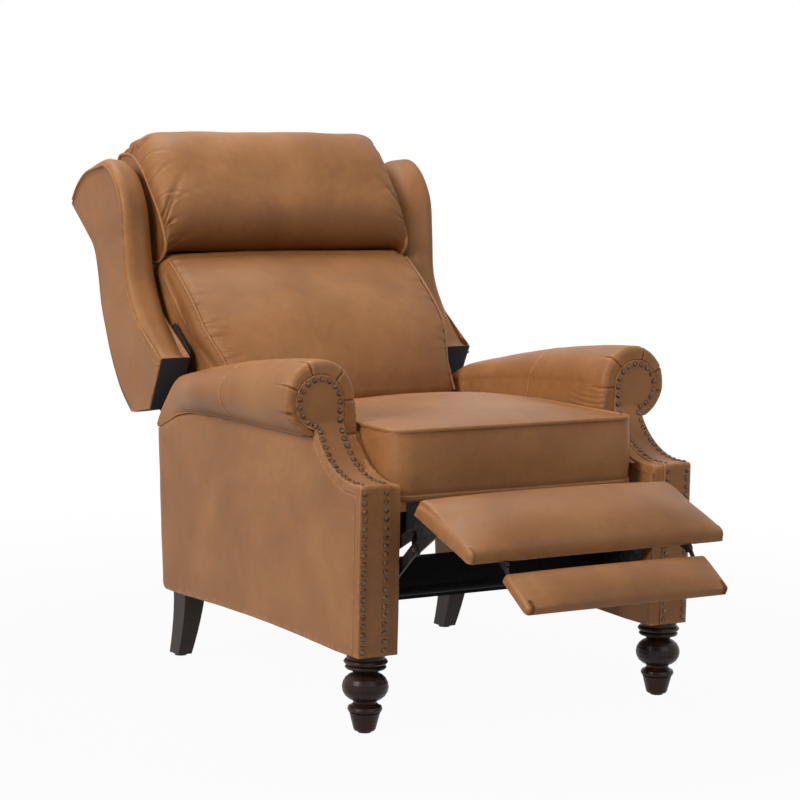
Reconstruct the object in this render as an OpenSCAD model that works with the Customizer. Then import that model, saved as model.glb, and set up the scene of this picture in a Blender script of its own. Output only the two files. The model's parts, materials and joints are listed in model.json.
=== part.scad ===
// Wingback recliner with rolled arms, nailed facings, turned front legs and a folding footrest.
// The chair stands on the XY plane and faces -Y. It is drawn with the footrest out.
// Places along the chair are measured from a datum plane across the middle of the arms,
// and the finished chair is moved so that the origin lies under the middle of its outline.

/* [Arm box] */
// Half of the width across the outside panels
half_w = 365; // [340:1:390]
// Width of the arm box from the outside panel to the inner face
arm_box_w = 82; // [74:1:92]
// Thickness of the padded outside panel
panel_t = 9; // [6:0.5:12]
// Front of the posts, ahead of the datum
post_y = 336; // [325:1:350]
// Rear edge of the arm at the seam under the roll, behind the datum
arm_rear = 445; // [435:1:460]
// Height of the bottom edge of the arm
arm_bottom_z = 142; // [125:1:160]
// Rise of the bottom edge between the legs
bottom_arch = 7; // [3:0.5:12]
// Height of the ledge on top of the post
ledge_z = 450; // [440:1:460]
// Depth of that ledge
ledge_d = 26; // [18:1:34]
// Radius of the sweep from the ledge up to the scroll
sweep_r = 150; // [140:1:160]
// Front plane of the scroll, ahead of the datum
scroll_y = 172.5; // [169:0.5:177]
// Height of the seam under the roll, at the front
seam_z = 519; // [514:1:524]

/* [Arm roll and facing] */
// Radius of the arm roll
roll_r = 73; // [68:1:78]
// Distance of the roll's axis from the middle of the chair
roll_x = 351; // [347:1:355]
// Height of the top of the roll at the front
roll_top_z = 656; // [648:1:664]
// Drop of the roll from front to rear, before it rounds over
roll_drop = 92; // [80:1:100]
// Inner face of the arm's padding, from the middle of the chair
inner_pad_x = 272; // [266:0.5:272]
// Bottom of the arm's inside padding
inner_pad_z = 446; // [442:1:452]
// Thickness of the nailed facing
facing_t = 18; // [14:1:22]
// Inner edge of the nailed facing, from the middle of the chair
facing_in_x = 303; // [300:0.5:308]
// Radius of the round head of the facing
facing_head_r = 51; // [48:1:53]
// Height of the centre of that head
facing_head_z = 579; // [575:1:583]
// Width of the padded boxing between the facing and the seat
boxing_w = 22; // [18:0.5:23]

/* [Nails] */
// Radius of a nail head
nail_r = 5.6; // [4.5:0.1:6.2]
// Height of a nail head
nail_h = 3.2; // [2.4:0.1:4.5]
// Spacing of the nails
nail_pitch = 15.7; // [13.5:0.1:18]
// Distance from the edge of the facing to the nail line
nail_edge = 8.5; // [7:0.1:10]
// Height of the lowest nail above the bottom of the arm
nail_start = 11; // [9:1:16]

/* [Legs] */
// Front legs, ahead of the datum
front_leg_y = 300; // [292:1:305]
// Front legs, from the middle of the chair
front_leg_x = 327; // [320:1:332]
// Largest radius of a turned leg
leg_r = 42; // [36:0.5:43]
// Rear legs at the arm, behind the datum
rear_leg_y = 394; // [380:1:400]
// Rear legs, from the middle of the chair
rear_leg_x = 317; // [312:1:322]
// Width of a rear leg at its top
rear_leg_w = 46; // [38:1:50]
// Depth of a rear leg at its top
rear_leg_d = 50; // [44:1:54]
// Kick of a rear leg's foot towards the rear
rear_leg_kick = 36; // [20:1:44]
// Height of a glide
glide_h = 4; // [2:0.5:6]
// Radius of a glide
glide_r = 12; // [9:0.5:14]
// Radius of a leg stud
stud_r = 4; // [3:0.25:5]
// Length of a leg stud
stud_l = 80; // [60:1:100]

/* [Base ironwork] */
// Thickness of the flat steel bars and plates
steel_t = 4; // [3:0.25:4.5]
// Side clearance between a fixed plate and the part that moves past it
layer_gap = 0.6; // [0.4:0.1:0.8]
// Height of the slide pins and of the recline hinge
runner_z = 390; // [387:1:392]
// Front slide pin, ahead of the datum
pin_front = 40; // [20:1:60]
// Rear slide pin, behind the datum
pin_rear = 200; // [180:1:220]
// Radius of a slide pin
slide_pin_r = 5; // [4:0.25:6]
// Radius of a pin's or a rivet's head
head_r = 8.5; // [7.5:0.25:9.5]
// Height of a flat rivet head
head_h = 2; // [1.6:0.1:2.2]
// Radius of the tube across the base
tube_r = 10; // [8:0.5:13]
// Height of the front rail's lower edge
rail_z = 207; // [203:1:212]
// Height of the front rail
rail_h = 76; // [60:1:80]
// Thickness of the front and rear rails
rail_t = 25; // [18:1:27]
// Front face of the front rail, ahead of the datum
rail_y = 185; // [180:1:188]

/* [Seat] */
// Half of the seat cushion's width
cushion_half_w = 262; // [255:0.5:264]
// Front of the seat cushion's boxing, ahead of the datum
seat_front = 304; // [298:1:308]
// Rear end of the seat cushion, behind the datum
seat_rear = 285; // [275:1:290]
// Underside of the seat cushion
seat_bottom_z = 424.5; // [423:0.5:428]
// Height of the seam round the top of the cushion, at the front
seat_welt_z = 547; // [535:1:552]
// Crown of the cushion above that seam
seat_crown = 27; // [18:1:32]
// Drop of the cushion's top towards its rear end
seat_drop = 92; // [85:1:105]
// Bulge of the cushion's front
seat_bulge = 7; // [3:0.5:10]
// Draw of the cushion's sides between its corners
seat_draw = 4; // [1:0.5:7]
// Height of the seat frame's rails
frame_h = 32; // [26:1:34]
// Thickness of the seat frame's rails
frame_t = 22; // [18:1:24]
// Width of a seat spring's loops
spring_w = 44; // [34:1:50]
// Diameter of the spring wire
wire_d = 3.5; // [2.5:0.25:3.9]
// Travel of the seat to the rear of the pose shown
glide_back = 17; // [10:1:20]
// Travel of the seat to the front of the pose shown
glide_fore = 12; // [6:1:14]
// Width of a seat runner bar
runner_w = 32; // [28:1:34]

/* [Back] */
// Lean of the back from upright, as drawn
recline = 30; // [27:0.5:32]
// Recline hinge, behind the datum
pivot_y = 305; // [300:1:310]
// Radius of the recline pin
recline_pin_r = 7; // [6:0.25:8]
// Depth of the wing, from the hinge line to its rear tip
wing_d = 210; // [205:1:216]
// Height of the wing's top above the hinge, along the back
wing_h = 715; // [700:1:725]
// Inner face of a wing, from the middle of the chair
wing_in_x = 300; // [298:1:302]
// Thickness of a wing
wing_t = 67; // [60:1:72]
// Outward lean of a wing's top
wing_lean = 7; // [2:0.5:10]
// Rounding of a wing's edges
wing_edge_r = 12; // [8:0.5:16]
// Thickness of the outside back
back_panel_t = 12; // [9:0.5:14]
// Front face of the back's posts, behind the hinge line
post_w = 100; // [99:0.5:104]
// Depth of the back's posts
post_d = 46; // [40:1:48]
// Width of the back's posts
post_x = 28; // [24:1:30]
// Lower end of the back cushion, along the back from the hinge
back_low = 106; // [103:1:112]
// Upper end of the back cushion
back_high = 484; // [476:1:488]
// Front of the back cushion ahead of the hinge line, at its sides
back_front = 62; // [54:1:66]
// Fall of that front towards the top of the cushion
back_fall = 98; // [88:1:108]
// Crown of the back cushion
back_crown = 20; // [12:1:24]
// Half of the back cushion's width above the arms
back_half_w = 290; // [282:1:293]
// Height of the head pillow along the back
head_h_along = 268; // [250:1:272]
// Thickness of the head pillow
head_t = 118; // [104:1:120]
// Half of the head pillow's width
head_half_w = 291; // [280:1:294]

/* [Footrest] */
// Rear lower edge of the footrest board, ahead of the datum
foot_y = 373; // [372:0.5:374]
// Height of that edge
foot_z = 409; // [408:0.5:410]
// Slope of the footrest board
foot_tilt = 19; // [18.5:0.5:19.5]
// Length of the footrest pad, rear to front
foot_l = 183; // [176:1:186]
// Half of the footrest pad's width
foot_half_w = 279; // [270:0.5:280]
// Thickness of the footrest board
board_t = 10; // [8:0.5:12]
// Thickness of the footrest pad at its crown
foot_pad_t = 35; // [26:1:38]
// Length of the flipper pad
flip_l = 87; // [78:1:89]
// Half of the flipper pad's width
flip_half_w = 215; // [190:1:222]
// Slope of the flipper past the footrest board's
flip_tilt = 14; // [12:0.5:16]
// Thickness of the flipper board
flip_board_t = 8; // [6:0.5:9]
// Thickness of the flipper pad
flip_pad_t = 17; // [12:0.5:18]
// Width of a link bar
link_w = 20; // [17:0.5:22]
// Radius of a link pin
link_pin_r = 4; // [3.5:0.25:4.5]

/* [Hidden] */

// Facets of round solids, and points along arcs and splines
$fn = 48;
arc_steps = 8;
bar_steps = 16;
spline_steps = 3;

// Overrun of every cut, and the gap between neighbours that lie side by side
cut = 5;
seat_gap = 0.3;
// Radial clearance of a fixed pin in its hole, and of a turning one
fixed_fit = 0.1;
turning_fit = 0.2;

// Layers of the ironwork, from the arm towards the middle of the chair
arm_in_x = half_w - arm_box_w;
plate_x = arm_in_x - steel_t;
link_x = plate_x - layer_gap - steel_t;
head_clear = 1.2;
bracket_x = link_x - head_h - head_clear - steel_t;
foot_gap = 1.1;
long_x = link_x - layer_gap - steel_t;
foot_x = long_x - foot_gap - steel_t;

// Arm box
skin_x = half_w - panel_t;
sweep_y = ledge_d - post_y;
sweep_z = ledge_z + sweep_r;
post_corner_r = 7;
rear_corner_r = 16;
rear_edge_share = [[0.9865, 0.73], [0.962, 0.34], [0.942, 0.08]];
seam_share = [[0.38, 0.998], [0.66, 0.985], [0.8, 0.961], [0.96, 0.906], [1, 0.892]];
arch_steps = 8;
arch_front_y = 255;
arch_rear_y = 365;

// Arm roll and the padding inside the arm
seam_out = 13;
seam_reach = half_w + seam_out - roll_x;
roll_front_y = scroll_y - 3 * seat_gap;
roll_edge_r = 12;
roll_squash_share = 0.53;
roll_fall_power = 1.5;
roll_fall_share = 0.94;
roll_round_y = 355;
roll_close_low = 170;
roll_close_high = 430;
roll_end_over = 1.5;
roll_station_share = [0.991, 0.96, 0.925, 0.88, 0.84, 0.8, 0.73, 0.66, 0.52, 0.38, 0.15, -0.1, -0.3];
roll_end_power = 0.8;
boxing_recess = 3;
pocket_steps = 34;
nose_recess = 8;

// Facing and nails
facing_head_x = facing_in_x + facing_head_r;
nail_gap = 0.2;
nail_profile_share = [[0, 0], [1, 0], [0.94, 0.42], [0.66, 0.82], [0, 1]];
nail_head_low = -75;
nail_loop_steps = 12;
nail_neck_share = 1.055;
nail_neck_lift = 2.7;
nail_neck_turn = 12;
nail_ledge_share = 0.86;

// Legs
leg_h = arm_bottom_z - glide_h;
leg_foot_share = [[0, 0], [0.44, 0], [0.48, 0.02], [0.66, 0.235]];
leg_ring_share = [[0.285, 0.045, 0.62, 0.13], [0.835, 0.03, 0.72, 0.17],
                  [0.905, 0.035, 0.76, 0.19]];
leg_waist_share = [0.5, 0.36];
leg_bulb_share = [0.575, 0.185, 0.36, 0.64];
leg_neck_share = [0.58, 0.785];
leg_top_share = [[0.82, 0.945], [0.82, 1], [0, 1]];
rear_leg_taper_share = [0.66, 0.76];
rear_leg_power = 1.6;
rear_leg_steps = 6;

// Base ironwork
bolt_r = 4;
bolt_head_r = 7;
bolt_head_h = 3;
bolt_l = 30;
bolt_share = [[-0.27, 0.505], [0.135, 0.655], [0.427, 0.6956]];
plate_share = [[-0.566, 0.393], [-0.396, 0.393], [0.539, 0.674], [0.539, 0.786], [-0.27, 0.786],
               [-0.656, 0.655], [-0.656, 0.57]];
tube_y = 130;
tube_z = 345;
tube_wall = 1.5;
rear_rail_y = 385;
rear_rail_z = 210;
rear_rail_h = 64;

// Seat
frame_top_z = seat_bottom_z - wire_d - 2 * seat_gap;
frame_z = frame_top_z - frame_h;
frame_front_y = 280;
seat_edge_r = 16;
seat_front_r = 15;
seat_fall_share = 0.45;
seat_fall_power = 3;
crown_power = 0.6;
cushion_steps = 10;
round_steps = 4;
round_limit = 78;
spring_share = [-0.65, -0.217, 0.217, 0.65];
spring_pitch = 22;
spring_bars = 24;
spring_front_y = 271;
apron_h = 38;
apron_t = 2;
apron_half_w = 235;
runner_front_y = 62;
slot_fit = 0.3;
slot_end = 1;
spacer_share = [0.183, 0.469, 0.837];
spacer_z = 398;
spacer_r = 7;
recline_head_r = 10;

// Back, in its own upright frame at the recline hinge: w to the rear, v upwards
wing_front_share = [[0.007, 0.3435], [0.098, 0.378], [0.217, 0.494], [0.248, 0.613],
                    [0.14, 0.735], [0.04, 0.86], [0.054, 0.968], [0.27, 1]];
wing_rear_share = [[1, 0.976], [0.86, 0.875], [0.786, 0.775], [0.915, 0.63], [0.965, 0.5],
                   [0.946, 0.383], [0.831, 0.288]];
wing_corner_share = [0.463, 0.248];
back_low_share = [0.8, 0.14];
back_inset = 3;
back_cap_rise = 7;
post_low = 20;
post_high = 690;
wing_board_low = 345;
wing_board_high = 660;
wing_board_w = 105;
wing_board_d = 36;
back_rail_t = 22;
back_rail_h = 50;
back_bottom = 110;
web_t = 2;
web_h = 50;
web_half_w = 260;
web_share = [0.273, 0.399, 0.524, 0.65, 0.776, 0.88];
web_gap = 0.5;
back_rear_w = post_w - web_t - web_gap - seat_gap;
back_edge_r = 26;
back_fall_v = 200;
back_fall_l = 270;
back_fall_power = 1.8;
back_corner_r = 14;
back_narrow_low = 170;
back_narrow_high = 300;
head_low = back_high + 12;
head_edge_r = 44;
head_power = 2.6;
head_points = 24;
bracket_eye_r = 17;
bracket_foot_w = 110;
bracket_foot_v = 32;
bracket_plate_low = 30;
bracket_plate_high = 178;
bracket_plate_w = 40;
bracket_arm_r = 11;
cambric_t = 2;
cambric_share = [[0.038, 0.366], [0.214, 0.28], [0.486, 0.175], [0.69, 0.147], [0.75, 0.364],
                 [0.476, 0.476], [0.19, 0.476]];
cambric_in = 0.3;

// Footrest: link pivots on the base, and on the bracket in the footrest's own frame
long_base_y = -233;
long_base_z = 218;
short_base_y = -276;
short_base_z = 316;
long_foot_s = 18;
long_foot_t = -72;
short_foot_s = 4;
short_foot_t = -49;
open_fit = 2;
open_head_r = 9.5;
link_tube_r = 8;
link_tube_at = 30;
foot_edge_r = 14;
foot_edge_t = 6;
board_in = 4;
pad_steps = 10;
bracket_eye = 11;
flange_s = 2;
flange_l = 73;
flange_h = 12;
flange_w = 16;
flip_hinge_s = 188;
flip_hinge_t = -18;
flip_start_s = 25.9;
flip_start_t = -4.9;
flip_arm_x = 196;
flip_arm_t = 3;
flip_arm_low = 166;
flip_arm_high = 184;
flip_arm_h = 24;
flip_eye_r = 8;
flip_pin_r = 3;
flip_strap_h = 8.5;
flip_strap_l = 62;
flip_edge_r = 9;
flip_edge_t = 4;

// The origin lies under the middle of the chair, from wing tip to flipper
rear_reach = pivot_y + wing_d * cos(recline) + wing_h * wing_rear_share[0][1] * sin(recline);
flip_far_s = flip_start_s + flip_l;
flip_far_t = flip_start_t + flip_board_t + flip_edge_t;
front_reach = foot_y + flip_hinge_s * cos(foot_tilt) + flip_hinge_t * sin(foot_tilt)
    + flip_far_s * cos(foot_tilt + flip_tilt) + flip_far_t * sin(foot_tilt + flip_tilt);
mid_y = (rear_reach - front_reach) / 2;

// Numbers, outlines and lofted skins

function lerp(a, b, t) = a + (b - a) * t;
function clamp(t) = min(1, max(0, t));
function unit(v) = v / norm(v);
function turned(list) = [for (i = [len(list) - 1:-1:0]) list[i]];
function scaled(list, a, b) = [for (p = list) [p[0] * a, p[1] * b]];
function arc(y, z, r, from, to, steps) =
    [for (i = [0:steps]) let(a = lerp(from, to, i / steps)) [y + r * cos(a), z + r * sin(a)]];

// A smooth curve through the given points
function spline_at(a, b, c, d, t) =
    (2 * b + (c - a) * t + (2 * a - 5 * b + 4 * c - d) * t * t
    + (3 * b - a - 3 * c + d) * t * t * t) / 2;
function spline(p) = concat([for (i = [0:len(p) - 2], k = [0:spline_steps - 1])
    spline_at(p[max(0, i - 1)], p[i], p[i + 1], p[min(len(p) - 1, i + 2)], k / spline_steps)],
    [p[len(p) - 1]]);

// An anticlockwise outline drawn in by a distance
function inset(p, d) = [for (i = [0:len(p) - 1])
    let(n = len(p), u = unit(p[i] - p[(i + n - 1) % n]), v = unit(p[(i + 1) % n] - p[i]),
        nu = [-u[1], u[0]], nv = [-v[1], v[0]], m = unit(nu + nv))
    p[i] + m * d / max(0.6, m * nu)];

// A strip of even width along an open line
function side_of(p, i) = let(n = len(p) - 1,
    u = unit(p[max(i, 1)] - p[max(i, 1) - 1]), v = unit(p[min(i, n - 1) + 1] - p[min(i, n - 1)]),
    nu = [-u[1], u[0]], nv = [-v[1], v[0]]) (nu + nv) / (1 + nu * nv);
function strip(p, w) = concat([for (i = [0:len(p) - 1]) p[i] + side_of(p, i) * w / 2],
    [for (i = [len(p) - 1:-1:0]) p[i] - side_of(p, i) * w / 2]);

// A closed skin over rings of points, each ring anticlockwise as seen from the last one
function centre(ring) = [for (k = [0:2]) [for (p = ring) p[k]] * [for (p = ring) 1 / len(ring)]];
module loft(rings, flat_ends = false) {
    n = len(rings[0]);
    m = len(rings);
    points = [for (r = rings) each r];
    sides = [for (j = [0:m - 2], i = [0:n - 1])
        let(a = j * n + i, b = j * n + (i + 1) % n) each [[a, a + n, b + n], [a, b + n, b]]];
    fans = [for (i = [0:n - 1]) let(k = (i + 1) % n)
        each [[n * m, i, k], [n * m + 1, (m - 1) * n + k, (m - 1) * n + i]]];
    ends = [[for (i = [0:n - 1]) i], [for (i = [n - 1:-1:0]) (m - 1) * n + i]];
    if (flat_ends) polyhedron(points, concat(sides, ends));
    else polyhedron(concat(points, [centre(rings[0]), centre(rings[m - 1])]),
        concat(sides, fans));
}

// Stations across a pad: place, and how far the section is drawn in there
function stations(half, r, steps) = concat(
    [for (i = [round_steps:-1:1]) let(a = round_limit * i / round_steps)
        [r - half - r * sin(a), r * (1 - cos(a))]],
    [for (i = [0:steps]) [lerp(r - half, half - r, i / steps), 0]],
    [for (i = [1:round_steps]) let(a = round_limit * i / round_steps)
        [half - r + r * sin(a), r * (1 - cos(a))]]);

// Placing

module along_x(from, to) {
    translate([from, 0, 0]) rotate([90, 0, 90]) linear_extrude(to - from) children();
}
module along_y(from, to) {
    translate([0, to, 0]) rotate([90, 0, 0]) linear_extrude(to - from) children();
}
module rod(from, to, place, r) {
    translate([from, place[0], place[1]]) rotate([0, 90, 0]) cylinder(r = r, h = to - from);
}
module bar(p, q, r) {
    a = atan2(q[1] - p[1], q[0] - p[0]);
    polygon(concat(arc(p[0], p[1], r, a + 90, a + 270, bar_steps),
        arc(q[0], q[1], r, a - 90, a + 90, bar_steps)));
}
// The whole chair, its left or right half, and both halves
module chair() {
    translate([0, -mid_y, 0]) children();
}
module half(side) {
    chair() mirror([side < 0 ? 1 : 0, 0, 0]) children();
}
module halves() {
    for (side = [1, -1]) half(side) children();
}
// The back's, the footrest's and the flipper's own frames
module back_frame() {
    translate([0, pivot_y, runner_z]) rotate([-recline, 0, 0]) children();
}
module foot_frame() {
    translate([0, -foot_y, foot_z]) rotate([foot_tilt, 0, 0]) children();
}
module flip_frame() {
    foot_frame() translate([0, -flip_hinge_s, flip_hinge_t]) rotate([flip_tilt, 0, 0]) children();
}
function foot_place(s, t) = [-foot_y - s * cos(foot_tilt) - t * sin(foot_tilt),
    foot_z - s * sin(foot_tilt) + t * cos(foot_tilt)];

// Arms: everything behind the front line of the arm, set back by t

function scroll_start(t) =
    sweep_z - (sweep_r + t) * sin(acos((t - scroll_y - sweep_y) / (sweep_r + t)));
module behind(t, over) {
    r = post_corner_r;
    low = arm_bottom_z - over;
    far = post_y + arm_rear + over;
    difference() {
        union() {
            translate([t - post_y, low]) square([far - t, ledge_z - t - r - low]);
            translate([t - post_y + r, ledge_z - t - r]) circle(r);
            translate([t - post_y + r, low]) square([far - t - r, ledge_z - t - low]);
            translate([sweep_y, low])
                square([far - sweep_y - post_y, facing_head_z + 2 * facing_head_r - low]);
        }
        intersection() {
            translate([sweep_y, sweep_z]) circle(sweep_r + t);
            translate([sweep_y - 2 * sweep_r, low]) square([4 * sweep_r, scroll_start(t) - low]);
        }
        translate([sweep_y - sweep_r, scroll_start(t)])
            square([sweep_r + t - scroll_y - sweep_y, 2 * sweep_r]);
    }
}
module front_band(front, back) {
    difference() {
        behind(front, 0);
        behind(back, cut);
    }
}
function seam_line() = [for (s = seam_share) [arm_rear * s[0], seam_z * s[1]]];
function bottom_line() = [for (i = [0:arch_steps]) [lerp(arch_rear_y, -arch_front_y, i / arch_steps),
    arm_bottom_z + bottom_arch * sin(180 * i / arch_steps)]];
function rear_line() = let(top = seam_z * seam_share[len(seam_share) - 1][1], n = len(rear_edge_share))
    concat([for (s = rear_edge_share) [arm_rear * s[0], lerp(arm_bottom_z, top, s[1])]],
        arc(arm_rear * rear_edge_share[n - 1][0] - rear_corner_r, arm_bottom_z + rear_corner_r,
            rear_corner_r, 0, -90, 4));
module arm_outline() {
    intersection() {
        behind(facing_t, 0);
        polygon(concat([[-post_y, arm_bottom_z], [-post_y, seam_z], [-scroll_y, seam_z]],
            seam_line(), rear_line(), bottom_line()));
    }
}
module facing_front() {
    translate([facing_head_x, facing_head_z]) circle(facing_head_r);
    translate([facing_in_x, arm_bottom_z])
        square([half_w - facing_in_x, facing_head_z - arm_bottom_z]);
}
module facing_pocket() {
    r = facing_head_r + seat_gap;
    out = half_w + seat_gap;
    polygon(concat([[facing_head_x - r, arm_bottom_z], [out, arm_bottom_z]],
        arc(facing_head_x, facing_head_z, r, -acos((out - facing_head_x) / r), 180, pocket_steps)));
}
function bolt_places() = scaled(bolt_share, arm_rear, seam_z);

module arm_box(side) {
    half(side) color("saddlebrown") difference() {
        along_x(arm_in_x, skin_x) arm_outline();
        for (p = [[front_leg_x, -front_leg_y], [rear_leg_x, rear_leg_y]])
            translate([p[0], p[1], arm_bottom_z - cut])
                cylinder(r = stud_r + fixed_fit, h = stud_l / 2 + cut);
        for (p = bolt_places()) rod(arm_in_x - cut, arm_in_x + bolt_l, p, bolt_r + fixed_fit);
    }
}
module side_panel(side) {
    half(side) color("peru") along_x(skin_x, half_w) arm_outline();
}
module facing(side) {
    half(side) color("peru") intersection() {
        along_x(facing_in_x - cut, facing_head_x + facing_head_r + cut) front_band(0, facing_t);
        along_y(-post_y - cut, 0) facing_front();
    }
}
module inner_boxing(side) {
    r = sweep_r + nose_recess;
    end_y = -roll_front_y - seat_gap;
    step_z = sweep_z - sqrt(pow(sweep_r + facing_t, 2) - pow(end_y - sweep_y, 2));
    half(side) color("peru") {
        along_x(arm_in_x, facing_in_x - seat_gap) intersection() {
            front_band(boxing_recess, facing_t);
            translate([-post_y, arm_bottom_z]) square([post_y, seam_z - seat_gap - arm_bottom_z]);
        }
        along_x(facing_in_x - boxing_w, arm_in_x) intersection() {
            front_band(boxing_recess, facing_t);
            translate([-post_y, arm_bottom_z]) square([post_y, step_z - arm_bottom_z]);
        }
        along_x(inner_pad_x, arm_in_x - seat_gap) polygon(concat(
            arc(sweep_y, sweep_z, r, -asin((sweep_z - inner_pad_z) / r),
                -acos((end_y - sweep_y) / r), arc_steps),
            [[end_y, inner_pad_z]]));
    }
}

// The roll and the arm's inside padding, one skin from the seat over to the outside seam
function roll_top(y) = roll_top_z - roll_drop
    * pow(clamp((y + scroll_y) / (arm_rear + scroll_y) / roll_fall_share), roll_fall_power);
function seam_at(y) = lookup(y, concat([[-scroll_y, seam_z]], seam_line())) + seat_gap;
function roll_end(y) =
    pow(1 - pow(clamp((y - roll_round_y) / (arm_rear - roll_round_y)), 2), roll_end_power);
function roll_wide(y) =
    let(t = clamp((y - roll_close_low) / (roll_close_high - roll_close_low)))
    lerp(roll_r, seam_reach + roll_end_over, t * t * (3 - 2 * t));
function roll_ring(y, d) =
    let(low = seam_at(y), top = low + (roll_top(y) - low) * roll_end(y) - d,
        rz = min(roll_r - d, (top - low) * roll_squash_share), zc = top - rz, r = roll_r - d,
        wide = roll_wide(y), turn = acos(seam_reach / wide),
        out = half_w + seam_out - d, face = inner_pad_x + d / 2)
    concat([[face, y, inner_pad_z + d / 2], [arm_in_x - seat_gap, y, inner_pad_z + d / 2],
        [arm_in_x - seat_gap, y, low], [out, y, low]],
        [for (i = [1:4]) let(a = turn * (1 - i / 4))
            [roll_x + (wide - d) * cos(a), y, zc - (zc - low) * sin(a) / sin(turn)]],
        [for (i = [1:12]) let(a = 15 * i)
            [roll_x + (i < 6 ? wide - d : r) * cos(a), y, zc + rz * sin(a)]],
        [[lerp(roll_x - r, face, 0.7), y, lerp(zc, inner_pad_z, 0.22)],
         [face, y, lerp(zc, inner_pad_z, 0.42)]]);
module arm_cover(side) {
    long = [for (s = roll_station_share) [arm_rear * s, 0]];
    front = [for (a = [0:30:90])
        [roll_edge_r * (1 - sin(a)) - roll_front_y, roll_edge_r * (1 - cos(a))]];
    half(side) color("peru") difference() {
        loft([for (s = concat(long, front)) roll_ring(s[0], s[1])], true);
        along_y(-post_y, facing_t + seat_gap - scroll_y) facing_pocket();
    }
}

// Nails, each a place and the way it faces
module nail(x, y, z, a) {
    translate([x, y, z]) rotate([a - 90, 0, 0]) translate([0, 0, nail_gap])
        rotate_extrude() polygon(scaled(nail_profile_share, nail_r, nail_h));
}
module nails(side) {
    step = nail_pitch / sweep_r * 180 / PI;
    loop_r = facing_head_r - nail_edge;
    ledge_y = sweep_y - nail_pitch * nail_ledge_share;
    post_n = floor((ledge_z - post_corner_r - arm_bottom_z - nail_start) / nail_pitch);
    first = nail_pitch * (1 - nail_ledge_share) / sweep_r * 180 / PI;
    rows = concat(
        [for (k = [0:post_n]) [-post_y, arm_bottom_z + nail_start + k * nail_pitch, 180]],
        [[ledge_y, ledge_z, 90]],
        [for (k = [0:10]) let(a = first + k * step - 90)
            [sweep_y + sweep_r * cos(a), sweep_z + sweep_r * sin(a), a + 180]]);
    half(side) color("darkslategray") {
        for (x = [facing_in_x + nail_edge, half_w - nail_edge], p = rows) nail(x, p[0], p[1], p[2]);
        for (k = [0:nail_loop_steps]) let(a = lerp(nail_head_low, 180, k / nail_loop_steps),
                low = k == 0 ? 1 : 0)
            nail(facing_head_x + loop_r * cos(a), -scroll_y - low * nail_neck_lift,
                facing_head_z + loop_r * sin(a), 180 - low * nail_neck_turn);
        for (k = [1, 2])
            nail(facing_in_x + nail_edge, -scroll_y,
                facing_head_z - k * nail_pitch * nail_neck_share, 180);
    }
}

// Legs

function bead(z, h, r, out, limit, steps) = [for (i = [0:steps])
    let(a = lerp(-limit, limit, i / steps)) [r + out * cos(a), z + h * sin(a)]];
function leg_profile() = let(p = leg_ring_share, b = leg_bulb_share) scaled(concat(
    leg_foot_share, bead(p[0][0], p[0][1], p[0][2], p[0][3], 90, 4), [leg_waist_share],
    bead(b[0], b[1], b[2], b[3], 75, 8), [leg_neck_share],
    bead(p[1][0], p[1][1], p[1][2], p[1][3], 90, 4), bead(p[2][0], p[2][1], p[2][2], p[2][3], 90, 4),
    leg_top_share), leg_r, leg_h);
module stud_hole(x, y) {
    translate([x, y, arm_bottom_z - stud_l / 2]) cylinder(r = stud_r + fixed_fit, h = stud_l);
}
module front_leg(side) {
    half(side) color("saddlebrown") difference() {
        translate([front_leg_x, -front_leg_y, glide_h]) rotate_extrude() polygon(leg_profile());
        stud_hole(front_leg_x, -front_leg_y);
    }
}
module rear_leg(side) {
    line = [for (i = [0:rear_leg_steps]) i / rear_leg_steps];
    function at(f, way) = [rear_leg_y + rear_leg_kick * pow(f, rear_leg_power)
        + way * rear_leg_d / 2 * lerp(1, rear_leg_taper_share[1], f), arm_bottom_z - leg_h * f];
    function out(way) = way * rear_leg_w / 2;
    half(side) color("saddlebrown") difference() {
        intersection() {
            along_x(rear_leg_x - rear_leg_w, rear_leg_x + rear_leg_w)
                polygon(concat([for (f = line) at(f, -1)], [for (f = turned(line)) at(f, 1)]));
            along_y(0, arm_rear + rear_leg_d) polygon([
                [rear_leg_x + out(1), arm_bottom_z], [rear_leg_x + out(-1), arm_bottom_z],
                [rear_leg_x + out(-rear_leg_taper_share[0]), glide_h],
                [rear_leg_x + out(rear_leg_taper_share[0]), glide_h]]);
        }
        stud_hole(rear_leg_x, rear_leg_y);
    }
}
module leg_glides() {
    halves() color("dimgray")
        for (p = [[front_leg_x, -front_leg_y], [rear_leg_x, rear_leg_y + rear_leg_kick]])
            translate(p) cylinder(r = glide_r, h = glide_h);
}
module leg_studs() {
    halves() color("silver")
        for (p = [[front_leg_x, -front_leg_y], [rear_leg_x, rear_leg_y]])
            translate([p[0], p[1], arm_bottom_z - stud_l / 2]) cylinder(r = stud_r, h = stud_l);
}

// Base ironwork

long_base = [long_base_y, long_base_z];
short_base = [short_base_y, short_base_z];
slide_places = [[-pin_front, runner_z], [pin_rear, runner_z]];
recline_place = [pivot_y, runner_z];
long_end = foot_place(long_foot_s, long_foot_t);
short_end = foot_place(short_foot_s, short_foot_t);

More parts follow.
